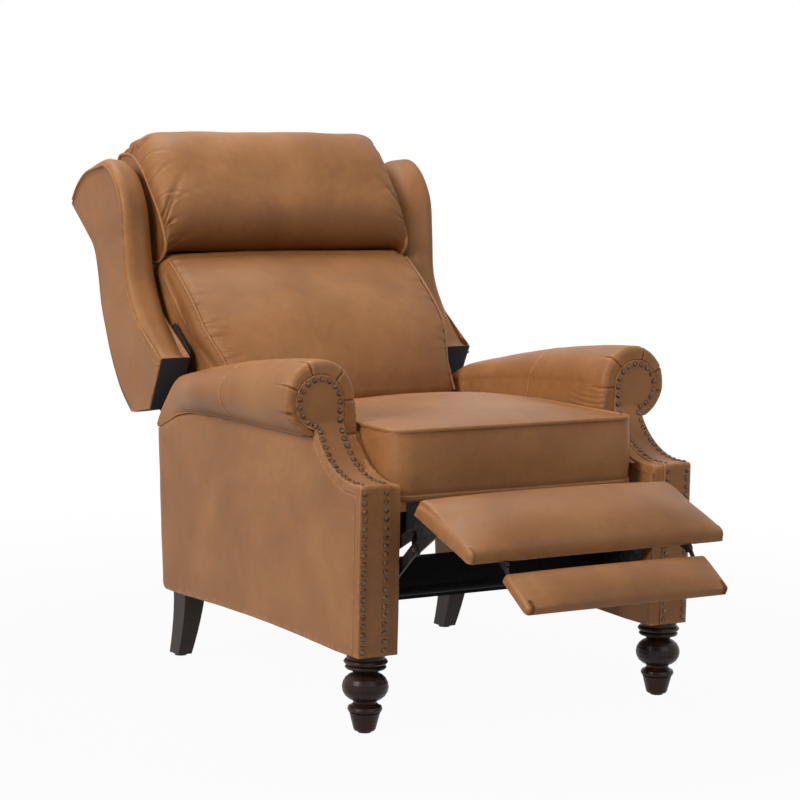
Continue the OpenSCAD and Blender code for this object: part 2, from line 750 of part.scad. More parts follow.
module rail(x, y, z, depth, height) {
    translate([-x, y, z]) cube([2 * x, depth, height]);
}
module front_rail() {
    chair() color("black") rail(plate_x, -rail_y, rail_z, rail_t, rail_h);
}
module rear_rail() {
    chair() color("black") rail(arm_in_x, rear_rail_y, rear_rail_z, rail_t, rear_rail_h);
}
module cross_tube() {
    chair() color("black") difference() {
        rod(-plate_x, plate_x, [tube_y, tube_z], tube_r);
        rod(-plate_x - cut, plate_x + cut, [tube_y, tube_z], tube_r - tube_wall);
    }
}
module mech_plate(side) {
    half(side) color("dimgray") difference() {
        along_x(plate_x, arm_in_x) polygon(scaled(plate_share, arm_rear, seam_z));
        for (p = slide_places) rod(plate_x - cut, arm_in_x + cut, p, slide_pin_r + fixed_fit);
        for (p = [long_base, short_base])
            rod(plate_x - cut, arm_in_x + cut, p, link_pin_r + fixed_fit);
        for (p = bolt_places()) rod(plate_x - cut, arm_in_x + cut, p, bolt_r + fixed_fit);
    }
}
module plate_bolts() {
    halves() color("silver") for (p = bolt_places()) {
        rod(plate_x - bolt_head_h, plate_x, p, bolt_head_r);
        rod(plate_x - cut / 2, arm_in_x + bolt_l, p, bolt_r);
    }
}
module headed_pin(p, r, x) {
    rod(x - seat_gap - head_h, x - seat_gap, p, head_r);
    rod(x - seat_gap - head_h, arm_in_x, p, r);
}
module slide_pins() {
    halves() color("silver") for (p = slide_places) headed_pin(p, slide_pin_r, link_x);
}
module link_rivets() {
    halves() color("silver") {
        headed_pin(long_base, link_pin_r, long_x);
        rod(link_x + fixed_fit, arm_in_x, short_base, link_pin_r);
    }
}

// Seat

module seat_side_rails() {
    halves() color("burlywood") difference() {
        translate([cushion_half_w - frame_t, -frame_front_y, frame_z])
            cube([frame_t, frame_front_y + seat_rear, frame_h]);
        for (p = spacer_places()) rod(0, half_w, p, link_pin_r + fixed_fit);
    }
}
module seat_front_rail() {
    chair() color("burlywood")
        rail(cushion_half_w - frame_t, -frame_front_y, frame_z, frame_t, frame_h);
}
module seat_rear_rail() {
    chair() color("burlywood")
        rail(cushion_half_w - frame_t, seat_rear - frame_t, frame_z, frame_t, frame_h);
}
function spring_path(x) = let(q = spring_pitch / 4) [for (k = [0:spring_bars]) let(
    y = k * spring_pitch - spring_front_y, w = (k % 2 == 0 ? 1 : -1) * spring_w / 2, c = sign(w) * q)
    each [[x - w, y - q], [x - w + c, y], [x + w - c, y], [x + w, y + q]]];
module seat_springs() {
    chair() color("silver") for (s = spring_share)
        translate([0, 0, frame_top_z + seat_gap]) linear_extrude(wire_d)
            polygon(strip(spring_path(s * cushion_half_w), wire_d));
}
function seat_top(v, u) = seat_welt_z
    - seat_drop * pow(clamp((v - seat_fall_share) / (1 - seat_fall_share)), seat_fall_power)
    + seat_crown * pow(sin(180 * v), crown_power) * (1 - pow(abs(u), 2.4));
function seat_ring(x, d) =
    let(front = d - seat_front, rear = seat_rear - d, low = seat_bottom_z + d / 2,
        u = x / cushion_half_w, high = seat_top(0, u) - d, end = seat_top(1, u) - d)
    [for (p = concat(
        [for (k = [0:3]) [k / 3, low]], [[1, lerp(low, end, 0.5)]],
        [for (k = [cushion_steps:-1:1]) let(v = k / cushion_steps)
            [v, max(low + (end - low) * 0.8, seat_top(v, u) - d)]],
        [[0.04, seat_top(0.03, u) - d]],
        [for (k = [0:3]) let(h = 1 - k / 4) [-seat_bulge * sin(180 * h) / seat_rear / 2,
            lerp(low, high, h)]]))
        [x * (1 - seat_draw / cushion_half_w * sin(180 * clamp(p[0]))),
         lerp(front, rear, p[0]), p[1]]];
module seat_cushion() {
    chair() color("peru") loft([for (s = stations(cushion_half_w, seat_edge_r, cushion_steps))
        seat_ring(s[0], s[1])]);
}
module seat_apron() {
    chair() color("black") rail(apron_half_w, -frame_front_y - seat_gap - apron_t,
        frame_z - apron_h, apron_t, apron_h + frame_h / 2);
}
function spacer_places() = [for (s = spacer_share) [lerp(-runner_front_y, pivot_y, s), spacer_z]];
module slot(p, r) {
    bar([p[0] - glide_back - slot_end, p[1]], [p[0] + glide_fore + slot_end, p[1]], r);
}
module runner(side) {
    half(side) color("dimgray") difference() {
        along_x(link_x, link_x + steel_t) difference() {
            bar([-runner_front_y, runner_z], recline_place, runner_w / 2);
            for (p = slide_places) slot(p, slide_pin_r + slot_fit);
        }
        rod(link_x - cut, link_x + steel_t + cut, recline_place, recline_pin_r + fixed_fit);
        for (p = spacer_places())
            rod(link_x - cut, link_x + steel_t + cut, p, link_pin_r + fixed_fit);
    }
}
module runner_spacers() {
    halves() color("silver") for (p = spacer_places()) {
        rod(cushion_half_w + seat_gap, link_x - seat_gap, p, spacer_r);
        rod(cushion_half_w - frame_t + cut, link_x + steel_t, p, link_pin_r);
    }
}
module recline_pins() {
    halves() color("silver") {
        rod(bracket_x - seat_gap - head_h, bracket_x - seat_gap, recline_place, recline_head_r);
        rod(bracket_x + steel_t + seat_gap, link_x - seat_gap, recline_place, recline_head_r);
        rod(bracket_x - seat_gap - head_h, link_x + steel_t, recline_place, recline_pin_r);
    }
}

// Back

post_out_x = bracket_x - seat_gap;
module back_post(side) {
    half(side) color("burlywood") back_frame() {
        translate([post_out_x - post_x, post_w, post_low])
            cube([post_x, post_d, post_high - post_low]);
        translate([post_out_x, wing_board_w, wing_board_low])
            cube([wing_in_x - seat_gap - post_out_x, wing_board_d, wing_board_high - wing_board_low]);
    }
}
module back_rail(low) {
    chair() color("burlywood") back_frame()
        rail(post_out_x - post_x, post_w, low, back_rail_t, back_rail_h);
}
module back_top_rail() {
    back_rail(post_high - back_rail_h);
}
module back_bottom_rail() {
    back_rail(back_bottom);
}
module back_webbing() {
    chair() color("black") back_frame() for (s = web_share)
        rail(web_half_w, post_w - web_gap - web_t, s * wing_h - web_h / 2, web_t, web_h);
}
function back_line() = spline(concat(scaled(wing_rear_share, wing_d, wing_h),
    scaled([back_low_share], wing_d, wing_h)));
module outside_back() {
    line = [for (i = [1:len(back_line()) - 1]) back_line()[i] - [back_inset, 0]];
    corner = [wing_d - back_inset, wing_h * wing_rear_share[0][1] - back_inset];
    cap_v = post_high + back_cap_rise;
    chair() color("peru") back_frame() along_x(-wing_in_x + seat_gap, wing_in_x - seat_gap)
        polygon(concat([[post_w, cap_v + back_panel_t], corner], line,
            [for (p = turned(line)) p - [back_panel_t, 0]],
            [corner - [back_panel_t, back_panel_t], [post_w, cap_v]]));
}
function wing_outline() = turned(concat(spline(scaled(wing_front_share, wing_d, wing_h)),
    spline(scaled(wing_rear_share, wing_d, wing_h)),
    scaled([wing_corner_share], wing_d, wing_h)));
module wing(side) {
    outline = wing_outline();
    mid = wing_t / 2;
    half(side) color("peru") back_frame() loft([for (s = stations(mid, wing_edge_r, 1))
        [for (p = inset(outline, s[1])) let(t = s[0] + mid)
            [wing_in_x + t + wing_lean * pow(clamp(p[1] / wing_h), 2) * t / wing_t, p[0], p[1]]]]);
}
function back_half(v) = lerp(cushion_half_w, back_half_w,
    let(t = clamp((v - back_narrow_low) / (back_narrow_high - back_narrow_low))) t * t * (3 - 2 * t));
function back_face(v, u) = let(h = clamp((v - back_low) / (back_high - back_low)))
    back_fall * pow(max(0, (v - back_fall_v) / back_fall_l), back_fall_power) - back_front
    - back_crown * pow(sin(180 * h), crown_power) * (1 - pow(abs(u), 2.4));
function back_ring(x, d) =
    let(u = x / back_half_w, r = back_edge_r, q = back_corner_r, rear = back_rear_w - d,
        low = back_low + d, high = back_high - d, lip = back_face(back_high, u) + d)
    [for (p = concat(
        [for (a = [180:30:270]) [back_face(back_low + r, u) + d + r + r * cos(a), low + r + r * sin(a)]],
        [[rear, low], [rear, lerp(low, high, 0.5)], [rear, high], [lerp(rear, lip + q, 0.5), high],
         [lip + q, high], [lip + q * 0.2, high - q * 0.3]],
        [for (k = [0:8]) let(v = lerp(high - q, low + r, k / 9)) [back_face(v, u) + d, v]]))
        [u * back_half(p[1]), p[0], p[1]]];
module back_cushion() {
    chair() color("peru") back_frame() loft([for (s = stations(back_half_w, back_edge_r, cushion_steps))
        back_ring(s[0], s[1])]);
}
function power_of(c) = sign(c) * pow(abs(c), 2 / head_power);
module head_pillow() {
    mid_w = back_rear_w - head_t / 2;
    mid_v = head_low + head_h_along / 2;
    chair() color("peru") back_frame() loft([for (s = stations(head_half_w, head_edge_r, 6))
        [for (k = [0:head_points - 1]) let(a = 360 * k / head_points)
            [s[0], mid_w + (head_t / 2 - s[1]) * power_of(cos(a)),
             mid_v + (head_h_along / 2 - s[1]) * power_of(sin(a))]]]);
}
module back_brackets() {
    halves() color("dimgray") back_frame() difference() {
        along_x(bracket_x, bracket_x + steel_t) {
            circle(bracket_eye_r);
            bar([0, 0], [bracket_foot_w, bracket_foot_v], bracket_arm_r);
            translate([post_w + back_inset, bracket_plate_low])
                square([bracket_plate_w, bracket_plate_high - bracket_plate_low]);
        }
        rod(bracket_x - cut, link_x, [0, 0], recline_pin_r + turning_fit);
    }
}
module side_cambric() {
    x = wing_in_x - cambric_in;
    halves() color("black") back_frame() along_x(x - cambric_t, x)
        polygon(scaled(cambric_share, wing_d, wing_h));
}

// Footrest linkage, drawn with the footrest out: plate, short link, long link, bracket

module link(x, from, to, near, far) {
    along_x(x, x + steel_t) difference() {
        bar(from, to, link_w / 2);
        translate(from) circle(near);
        translate(to) circle(far);
    }
}
module long_links() {
    hole = link_pin_r + turning_fit;
    halves() color("dimgray") link(long_x, long_base, long_end, hole, hole);
}
module link_tube() {
    chair() color("black") rod(-long_x, long_x,
        long_base + unit(long_end - long_base) * link_tube_at, link_tube_r);
}
module short_links() {
    halves() color("dimgray") {
        link(link_x, short_base, short_end, link_pin_r + turning_fit, 0);
        rod(foot_x - seat_gap - head_h, link_x + steel_t, short_end, link_pin_r);
        rod(foot_x - seat_gap - head_h, foot_x - seat_gap, short_end, open_head_r);
    }
}

// Footrest, in its own frame

module pad(half, l, low, edge, t, r, start) {
    function high(v, u) = low + edge + (t - edge) * pow(1 - pow(abs(2 * v - 1), 3), 0.7)
        * (1 - pow(abs(u), 3.4));
    function ring(x, d) = let(u = x / half, inside = d / r * edge / 2) [for (p = concat(
        [for (v = [0, 0.5, 1]) [v, low + inside]], [[1.004, low + edge / 2]],
        [for (k = [pad_steps:-1:0]) let(v = (1 - cos(180 * k / pad_steps)) / 2)
            [v, high(v, u) - inside]],
        [[-0.012, lerp(low, high(0, u), 0.75)], [-0.012, lerp(low, high(0, u), 0.3)]]))
        [x, -start - lerp(l - d, d, p[0]), p[1]]];
    loft([for (s = stations(half, r, cushion_steps)) ring(s[0], s[1])]);
}
module board(half, start, l, low, t) {
    translate([-half, -start - l, low]) cube([2 * half, l, t]);
}
module footrest_board() {
    chair() color("burlywood") foot_frame()
        board(foot_x + steel_t + seat_gap * 10, board_in, foot_l - 2 * board_in, 0, board_t);
}
module footrest_pad() {
    chair() color("peru") foot_frame()
        pad(foot_half_w, foot_l, board_t + seat_gap, foot_edge_t, foot_pad_t, foot_edge_r, 0);
}
module footrest_brackets() {
    rivet = [-long_foot_s, long_foot_t];
    open = [-short_foot_s, short_foot_t];
    halves() color("dimgray") foot_frame() {
        along_x(foot_x, foot_x + steel_t) difference() {
            union() {
                bar(rivet, open, bracket_eye);
                bar(open, [-flange_s - bracket_eye, -seat_gap - bracket_eye], bracket_eye);
                polygon([[-flange_s, -seat_gap], [-flange_s - flange_l, -seat_gap],
                    [-flange_s - flange_l, -flange_h], rivet - [bracket_eye, 0], open]);
            }
            translate(rivet) circle(link_pin_r + fixed_fit);
            translate(open) circle(link_pin_r + open_fit);
        }
        translate([foot_x - flange_w, -flange_s - flange_l, -seat_gap - steel_t])
            cube([flange_w + steel_t, flange_l, steel_t]);
    }
}
module bracket_rivets() {
    halves() color("silver") {
        rod(foot_x - seat_gap - head_h, foot_x, long_end, head_r);
        rod(foot_x + steel_t, long_x - seat_gap, long_end, head_r);
        rod(foot_x - seat_gap - head_h, long_x + steel_t - fixed_fit, long_end, link_pin_r);
    }
}
module flipper_arms() {
    hinge = [-flip_hinge_s, flip_hinge_t];
    halves() color("dimgray") foot_frame() {
        along_x(flip_arm_x, flip_arm_x + flip_arm_t) {
            translate([-flip_arm_high, -flip_arm_h]) square([flip_arm_high - flip_arm_low,
                flip_arm_h - seat_gap]);
            translate(hinge) circle(flip_eye_r);
        }
        rod(flip_arm_x, flip_arm_x + 2 * flip_arm_t + 2 * layer_gap, hinge, flip_pin_r);
    }
}
module flipper_board() {
    chair() color("burlywood") flip_frame() board(flip_half_w - board_in, flip_start_s + board_in / 2,
        flip_l - board_in, flip_start_t, flip_board_t);
}
module flipper_pad() {
    chair() color("peru") flip_frame() pad(flip_half_w, flip_l,
        flip_start_t + flip_board_t + seat_gap, flip_edge_t, flip_pad_t, flip_edge_r, flip_start_s);
}
module flipper_brackets() {
    x = flip_arm_x + flip_arm_t + layer_gap;
    top = flip_start_t - seat_gap;
    halves() color("dimgray") flip_frame() along_x(x, x + flip_arm_t) difference() {
        union() {
            circle(flip_eye_r);
            bar([0, 0], [-flip_start_s, top - flip_strap_h / 2], flip_strap_h / 2);
            translate([-flip_start_s - flip_strap_l, top - flip_strap_h])
                square([flip_strap_l, flip_strap_h]);
        }
        circle(flip_pin_r + turning_fit);
    }
}

arm_box(1);  // left_arm_box
arm_box(-1);  // right_arm_box
side_panel(1);  // left_side_panel
side_panel(-1);  // right_side_panel
arm_cover(1);  // left_arm_cover
arm_cover(-1);  // right_arm_cover
facing(1);  // left_facing
facing(-1);  // right_facing
inner_boxing(1);  // left_inner_boxing
inner_boxing(-1);  // right_inner_boxing
nails(1);  // left_nails
nails(-1);  // right_nails
front_leg(1);  // left_front_leg
front_leg(-1);  // right_front_leg
rear_leg(1);  // left_rear_leg
rear_leg(-1);  // right_rear_leg
leg_glides();
leg_studs();
front_rail();
rear_rail();
cross_tube();
mech_plate(1);  // left_mech_plate
mech_plate(-1);  // right_mech_plate
plate_bolts();
slide_pins();
link_rivets();
seat_side_rails();
seat_front_rail();
seat_rear_rail();
seat_springs();
seat_cushion();
seat_apron();
runner(1);  // left_runner
runner(-1);  // right_runner
runner_spacers();
recline_pins();
back_post(1);  // left_back_post
back_post(-1);  // right_back_post
back_top_rail();
back_bottom_rail();
back_webbing();
outside_back();
wing(1);  // left_wing
wing(-1);  // right_wing
back_cushion();
head_pillow();
back_brackets();
side_cambric();
long_links();
link_tube();
short_links();
footrest_board();
footrest_pad();
footrest_brackets();
bracket_rivets();
flipper_arms();
flipper_board();
flipper_pad();
flipper_brackets();
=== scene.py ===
# %% [markdown]
# A wingback recliner in antique caramel leather, with its footrest out and its back leaning.
# The engineering model is loaded first. It is the frame that everything else is fitted to:
# its wood, steel and nails stay, and its leather gets a sewn, creased and grained skin here.

# %% Load the frame
import json
import math
import bpy
import bmesh
import numpy as np
from mathutils import Matrix, Vector, noise


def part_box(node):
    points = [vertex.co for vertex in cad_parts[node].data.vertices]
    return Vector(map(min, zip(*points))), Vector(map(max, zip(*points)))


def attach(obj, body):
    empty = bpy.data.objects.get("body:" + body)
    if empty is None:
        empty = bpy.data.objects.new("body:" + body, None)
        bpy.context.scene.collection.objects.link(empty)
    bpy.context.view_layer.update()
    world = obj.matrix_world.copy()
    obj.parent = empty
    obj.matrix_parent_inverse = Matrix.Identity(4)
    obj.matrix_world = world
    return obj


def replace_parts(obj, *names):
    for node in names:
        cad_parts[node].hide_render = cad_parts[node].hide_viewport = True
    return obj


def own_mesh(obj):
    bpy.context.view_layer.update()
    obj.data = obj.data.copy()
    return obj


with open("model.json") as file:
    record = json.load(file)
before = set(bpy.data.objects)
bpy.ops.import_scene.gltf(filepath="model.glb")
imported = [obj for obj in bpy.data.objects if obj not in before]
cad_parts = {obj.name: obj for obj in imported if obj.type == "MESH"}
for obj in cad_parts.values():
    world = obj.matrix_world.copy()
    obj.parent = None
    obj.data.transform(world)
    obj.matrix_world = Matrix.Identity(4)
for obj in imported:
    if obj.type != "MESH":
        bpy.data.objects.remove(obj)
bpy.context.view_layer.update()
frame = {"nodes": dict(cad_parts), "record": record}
node = frame["nodes"]

# %% [markdown]
# The chair faces -Y, its left side is +X and it stands on Z = 0. The back was drawn upright
# in its own frame at the recline hinge (w to the rear, v upwards) and then leant by 30
# degrees, and the footrest and flipper have frames of their own. The same frames are used
# here, so a seam is placed in the frame that its cushion was cut in.

# %% The chair's own frames, in metres
MID_Y = 0.09617                 # from the middle of the seat to the origin of the object
HINGE = (0.305, 0.390)          # y and z of the recline hinge
RECLINE = math.radians(30)
FOOT = (0.373, 0.409)           # -y and z of the footrest's hinge edge
FOOT_TILT = math.radians(19)
FLIP = (0.188, -0.018)          # s and t of the flipper's hinge edge on the footrest
FLIP_TILT = math.radians(14)


def chair(points):
    """Points drawn from the middle of the seat, moved to the origin of the whole object."""
    return np.asarray(points, float) - (0, MID_Y, 0)


def split(points, angle):
    """The three coordinates of an array of points, and an angle's cosine and sine."""
    return *np.moveaxis(np.asarray(points, float), -1, 0), math.cos(angle), math.sin(angle)


def on_back(points):
    """Points (x, w, v) of the back's frame."""
    x, w, v, c, n = split(points, RECLINE)
    return chair(np.stack([x, HINGE[0] + w * c + v * n, HINGE[1] - w * n + v * c], -1))


def on_foot(points):
    """Points (x, s, t) of the footrest's frame: s outwards from its hinge edge, t upwards."""
    x, s, t, c, n = split(points, FOOT_TILT)
    return chair(np.stack([x, -FOOT[0] - s * c - t * n, FOOT[1] - s * n + t * c], -1))


def on_flip(points):
    """Points (x, s, t) of the flipper's frame."""
    x, s, t, c, n = split(points, FLIP_TILT)
    return on_foot(np.stack([x, FLIP[0] + s * c + t * n, FLIP[1] - s * n + t * c], -1))


print("back hinge at", chair([(0, *HINGE)])[0].round(4))

# %% [markdown]
# The photograph was taken from the chair's right front with a long lens, a little above
# seat height. The camera is built from its three axes, so that its small roll is kept too.

# %% Camera
AZIMUTH, ELEVATION, ROLL = math.radians(-32.18), math.radians(6.62), math.radians(1.08)
EYE = (-2.7587, -4.2626, 1.1368)
FOCUS, PICTURE, SENSOR = 2661.6, 800, 36     # pixels, pixels, millimetres
ahead = Vector((-math.sin(AZIMUTH) * math.cos(ELEVATION),
                math.cos(AZIMUTH) * math.cos(ELEVATION), -math.sin(ELEVATION)))
right = ahead.cross(Vector((0, 0, 1))).normalized()
up = right.cross(ahead)
right, up = (math.cos(ROLL) * right + math.sin(ROLL) * up,
             math.cos(ROLL) * up - math.sin(ROLL) * right)
camera = bpy.data.objects.new("camera", bpy.data.cameras.new("camera"))
bpy.context.scene.collection.objects.link(camera)
camera.matrix_world = Matrix.Translation(Vector(chair(EYE))) @ Matrix(
    (right, up, -ahead)).transposed().to_4x4()
camera.data.sensor_width = SENSOR
camera.data.lens = FOCUS / PICTURE * SENSOR
bpy.context.scene.camera = camera
bpy.context.scene.view_settings.view_transform = "Standard"
print("lens", round(camera.data.lens, 1), "mm")

# %% [markdown]
# Every material here is a small net of nodes. These helpers write one node in one line:
# what feeds it is a value, another node or one of its outputs, by name or by place.

# %% Helpers for nodes
finish = {}


def new_material(name):
    """The node tree and the Principled shader of a new finish."""
    finish[name] = bpy.data.materials.new(name)
    finish[name].use_nodes = True
    tree = finish[name].node_tree
    return tree, tree.nodes["Principled BSDF"]


def feed(tree, socket, value):
    """Links a node (its first output) or an output to a socket, or sets the socket's value."""
    if isinstance(value, bpy.types.Node):
        value = value.outputs[0]
    if isinstance(value, bpy.types.NodeSocket):
        tree.links.new(value, socket)
    else:
        socket.default_value = value


def give(tree, made, *values, **named):
    """Settings are named in small letters, and inputs by place or as From_Min for From Min."""
    for key, value in [*named.items(), *enumerate(values)]:
        if str(key).islower():
            setattr(made, key, value)
        else:
            name = key if isinstance(key, int) else key.replace("_", " ")
            feed(tree, made.inputs[name], value)
    return made


def add(tree, kind, *values, **named):
    """A new node of a kind, with all that is given to it."""
    return give(tree, tree.nodes.new("ShaderNode" + kind), *values, **named)


def blended(tree, how, share, first, second):
    """The output of two blended colours."""
    made = add(tree, "Mix", data_type="RGBA", blend_type=how)
    for place, value in ((0, share), (6, first), (7, second)):
        feed(tree, made.inputs[place], value)
    return made.outputs[2]


def ramp(tree, source, stops):
    """A colour ramp with the given stops (place, colour), fed by a mask."""
    made = add(tree, "ValToRGB", Fac=source)
    band = made.color_ramp
    while len(band.elements) < len(stops):
        band.elements.new(0.5)
    for element, (place, colour) in zip(band.elements, stops):
        element.position = place
        element.color = (*colour, 1)
    return made


def grey(value):
    return (value, value, value)


def group(name, inputs, outputs):
    """A node group: its tree, what it is given, what it hands on, and object coordinates."""
    tree = bpy.data.node_groups.new(name, "ShaderNodeTree")
    for label, value in inputs.items():
        made = tree.interface.new_socket(label, in_out="INPUT", socket_type="NodeSocketFloat")
        made.default_value = value
    for label in outputs:
        tree.interface.new_socket(label, in_out="OUTPUT", socket_type="NodeSocketFloat")
    given = tree.nodes.new("NodeGroupInput").outputs
    wanted = tree.nodes.new("NodeGroupOutput").inputs
    return tree, given, wanted, add(tree, "TexCoord").outputs["Object"]


print("node helpers ready")

# %% [markdown]
# The photograph is a studio cut-out: soft light from the upper left and the front, and a
# white ground. The white comes from what the camera sees of the world and the floor, not
# from more light on the leather.

# %% World, lamps and floor


def seen_white(tree, shader, share, output):
    """Mixes white into a shader where the camera, a reflection or a glass looks at it."""
    rays = add(tree, "LightPath").outputs
    glow = add(tree, "Emission" if share < 1 else "Background", Color=(1, 1, 1, 1))
    either = add(tree, "Math", rays["Is Camera Ray"], rays["Is Transmission Ray"],
                 operation="MAXIMUM")
    any_ray = add(tree, "Math", either, rays["Is Glossy Ray"], operation="MAXIMUM")
    amount = add(tree, "Math", any_ray, share, operation="MULTIPLY")
    feed(tree, output, add(tree, "MixShader", amount, shader, glow))
    return amount


world = bpy.data.worlds.new("studio")
world.use_nodes = True
bpy.context.scene.world = world
tree = world.node_tree
sky = give(tree, tree.nodes["Background"], Color=(0.97, 0.97, 1.0, 1), Strength=0.17)
seen_white(tree, sky, 1, tree.nodes["World Output"].inputs["Surface"])


def lamp(name, place, aim, size, power, colour):
    """A soft box lamp that looks at a point of the chair."""
    light = bpy.data.lights.new(name, "AREA")
    light.shape = "RECTANGLE"
    light.size, light.size_y = size
    light.energy = power
    light.color = colour
    box = bpy.data.objects.new(name, light)
    bpy.context.scene.collection.objects.link(box)
    box.location = place
    box.rotation_euler = (Vector(aim) - Vector(place)).to_track_quat("-Z", "Y").to_euler()


lamp("key_lamp", (-3.5, -0.7, 2.3), (0, 0.1, 0.5), (1.5, 1.5), 92, (1.0, 0.97, 0.93))
lamp("fill_lamp", (0.7, -3.6, 2.3), (0, 0, 0.5), (2.6, 2.0), 29, (1.0, 0.98, 0.95))
lamp("top_lamp", (-0.2, 1.0, 3.2), (0, 0.1, 0.7), (2.0, 1.2), 44, (1.0, 0.98, 0.96))

mesh = bpy.data.meshes.new("floor")
mesh.from_pydata([(-9, -9, 0), (9, -9, 0), (9, 9, 0), (-9, 9, 0)], [], [(0, 1, 2, 3)])
floor = bpy.data.objects.new("floor", mesh)
bpy.context.scene.collection.objects.link(floor)
tree, paint = new_material("floor_paint")
cloudy = add(tree, "TexNoise", Scale=3)
give(tree, paint, Roughness=0.9,
     Base_Color=ramp(tree, cloudy, [(0, grey(0.26)), (1, grey(0.30))]))
amount = seen_white(tree, paint, 0.97, tree.nodes["Material Output"].inputs["Surface"])
spot = add(tree, "NewGeometry").outputs["Position"]
away = add(tree, "VectorMath", spot, operation="LENGTH").outputs["Value"]
fade = add(tree, "MapRange", Value=away, From_Min=0.9, From_Max=2.2, To_Min=0.955, To_Max=1.0)
feed(tree, amount.inputs[1], fade)
floor.data.materials.append(finish["floor_paint"])
print("three lamps and a floor")

# %% [markdown]
# Aniline leather is hand rubbed: the hide is mottled in soft clouds, darker where hands keep
# the dye, paler where it is stretched over an edge. The shade in folds is painted on later, with
# the leather.
# Its grain is a net of small cells with fine hair cells between. Each of these effects is one node
# group with named sockets, so each leather and each cloth takes it with its own values.

# %% Shared effects as node groups
hide, given, wanted, place = group("hide_clouds", {"Scale": 5.0}, ["Clouds", "Flecks"])
broad = add(hide, "TexNoise", Vector=place, Scale=given["Scale"], Detail=4.0, Roughness=0.55,
            Distortion=0.4)
finer = add(hide, "Math", given["Scale"], 9.0, operation="MULTIPLY")
flecks = add(hide, "TexNoise", Vector=place, Scale=finer, Detail=6.0, Roughness=0.68)
feed(hide, wanted["Clouds"], broad)
feed(hide, wanted["Flecks"], flecks)

grain, given, wanted, place = group("hide_grain", {"Cells": 620.0, "Creases": 70.0}, ["Height"])
bend = add(grain, "TexNoise", Vector=place, Scale=160.0, Detail=2.0)
moved = add(grain, "VectorMath", bend.outputs["Color"], operation="SCALE", Scale=0.0016)
shifted = add(grain, "VectorMath", place, moved, operation="ADD")
nets = []
for size, wide, high in ((given["Cells"], 0.16, 0.42), (given["Creases"], 0.05, 0.3)):
    net = add(grain, "TexVoronoi", feature="DISTANCE_TO_EDGE", Vector=shifted, Scale=size)
    nets.append(add(grain, "MapRange", Value=net, From_Max=wide, To_Max=high))
pores = add(grain, "TexNoise", Vector=place, Scale=1500.0, Detail=2.0)
pores_up = add(grain, "Math", pores, 0.22, operation="MULTIPLY")
both = add(grain, "Math", *nets, operation="ADD")
feed(grain, wanted["Height"], add(grain, "Math", both, pores_up, operation="ADD"))

rub, given, wanted, place = group("edge_wear", {"Edge": 0.0, "Breakup": 90.0}, ["Worn"])
patchy = add(rub, "TexNoise", Vector=place, Scale=given["Breakup"], Detail=5.0, Roughness=0.6)
spread = add(rub, "MapRange", Value=patchy, From_Min=0.35, From_Max=0.68)
feed(rub, wanted["Worn"], add(rub, "Math", spread, given["Edge"], operation="MULTIPLY",
                              use_clamp=True))

weave, given, wanted, place = group("plain_weave", {"Threads": 900.0}, ["Height", "Shade"])
warp, weft = [add(weave, "TexWave", bands_direction=way, Vector=place, Scale=given["Threads"],
                  Distortion=0.6, Detail=1.0).outputs["Fac"] for way in ("X", "DIAGONAL")]
crossed = add(weave, "Math", warp, weft, operation="MULTIPLY")
feed(weave, wanted["Height"], crossed)
feed(weave, wanted["Shade"], crossed)
print("groups", sorted(g.name for g in bpy.data.node_groups))

# %% [markdown]
# The leather is the chair's whole look, so it is built first. Three masks shape its colour:
# the clouds of the hide, the worn edges, and painted shade, which the mesh code writes on
# each piece as it makes them: darker in folds, creases and seams and on faces that lie in shade.
# The polish is broken by the same clouds, and the painted shade also lowers the reflection.

# %% Leather
POLISH = 0.47
# the colour that painted shade multiplies in: folds, creases, seams and shaded undersides are
# painted darker
PAINTED_SHADE_COLOUR = (0.28, 0.17, 0.06, 1)


def leather(name, deep, middle, pale):
    """Rubbed aniline leather, from its darkest to its palest dye."""
    tree, shader = new_material(name)
    clouds = add(tree, "Group", node_tree=hide, Scale=5.5).outputs
    edge, fold = [add(tree, "Attribute", attribute_name=mask).outputs["Fac"]
                  for mask in ("edge", "fold")]
    dye = ramp(tree, clouds["Clouds"], [(0.30, deep), (0.50, middle), (0.72, pale)])
    speckle = ramp(tree, clouds["Flecks"], [(0.32, grey(0.86)), (0.62, grey(1.06))])
    colour = blended(tree, "MULTIPLY", 0.7, dye, speckle)
    worn = add(tree, "Group", node_tree=rub, Edge=edge)
    colour = blended(tree, "MIX", worn, colour, (*[min(1, c * 1.35) for c in pale], 1))
    # painted shade: the mask from the mesh darkens folds, seams and shaded faces
    colour = blended(tree, "MULTIPLY", fold, colour, PAINTED_SHADE_COLOUR)
    gloss = add(tree, "MapRange", Value=clouds["Flecks"], From_Min=0.3, From_Max=0.7,
                To_Min=POLISH - 0.06, To_Max=POLISH + 0.09)
    skin_bump = add(tree, "Bump", Height=add(tree, "Group", node_tree=grain), Strength=0.24,
                    Distance=0.0009)
    soft_bump = add(tree, "Bump", Height=clouds["Clouds"], Normal=skin_bump, Strength=0.35,
                    Distance=0.006)
    dull = add(tree, "MapRange", Value=fold, To_Min=0.30, To_Max=0.05)
    give(tree, shader, Base_Color=colour, Roughness=gloss, Normal=soft_bump,
         Specular_IOR_Level=dull, Coat_Weight=0.03, Coat_Roughness=0.34)


leather("caramel_leather", (0.285, 0.118, 0.038), (0.352, 0.152, 0.051), (0.420, 0.192, 0.069))
print("leather ready")

# %% [markdown]
# The legs are espresso stained and lacquered, so their wood shows only as faint long
# streaks under a clear coat. The frame inside is bare beech, the ironwork is black paint on
# steel with bright pins, and the nail heads are antique bronze, bright only on their crowns.

# %% Wood, metal, glides and cloth


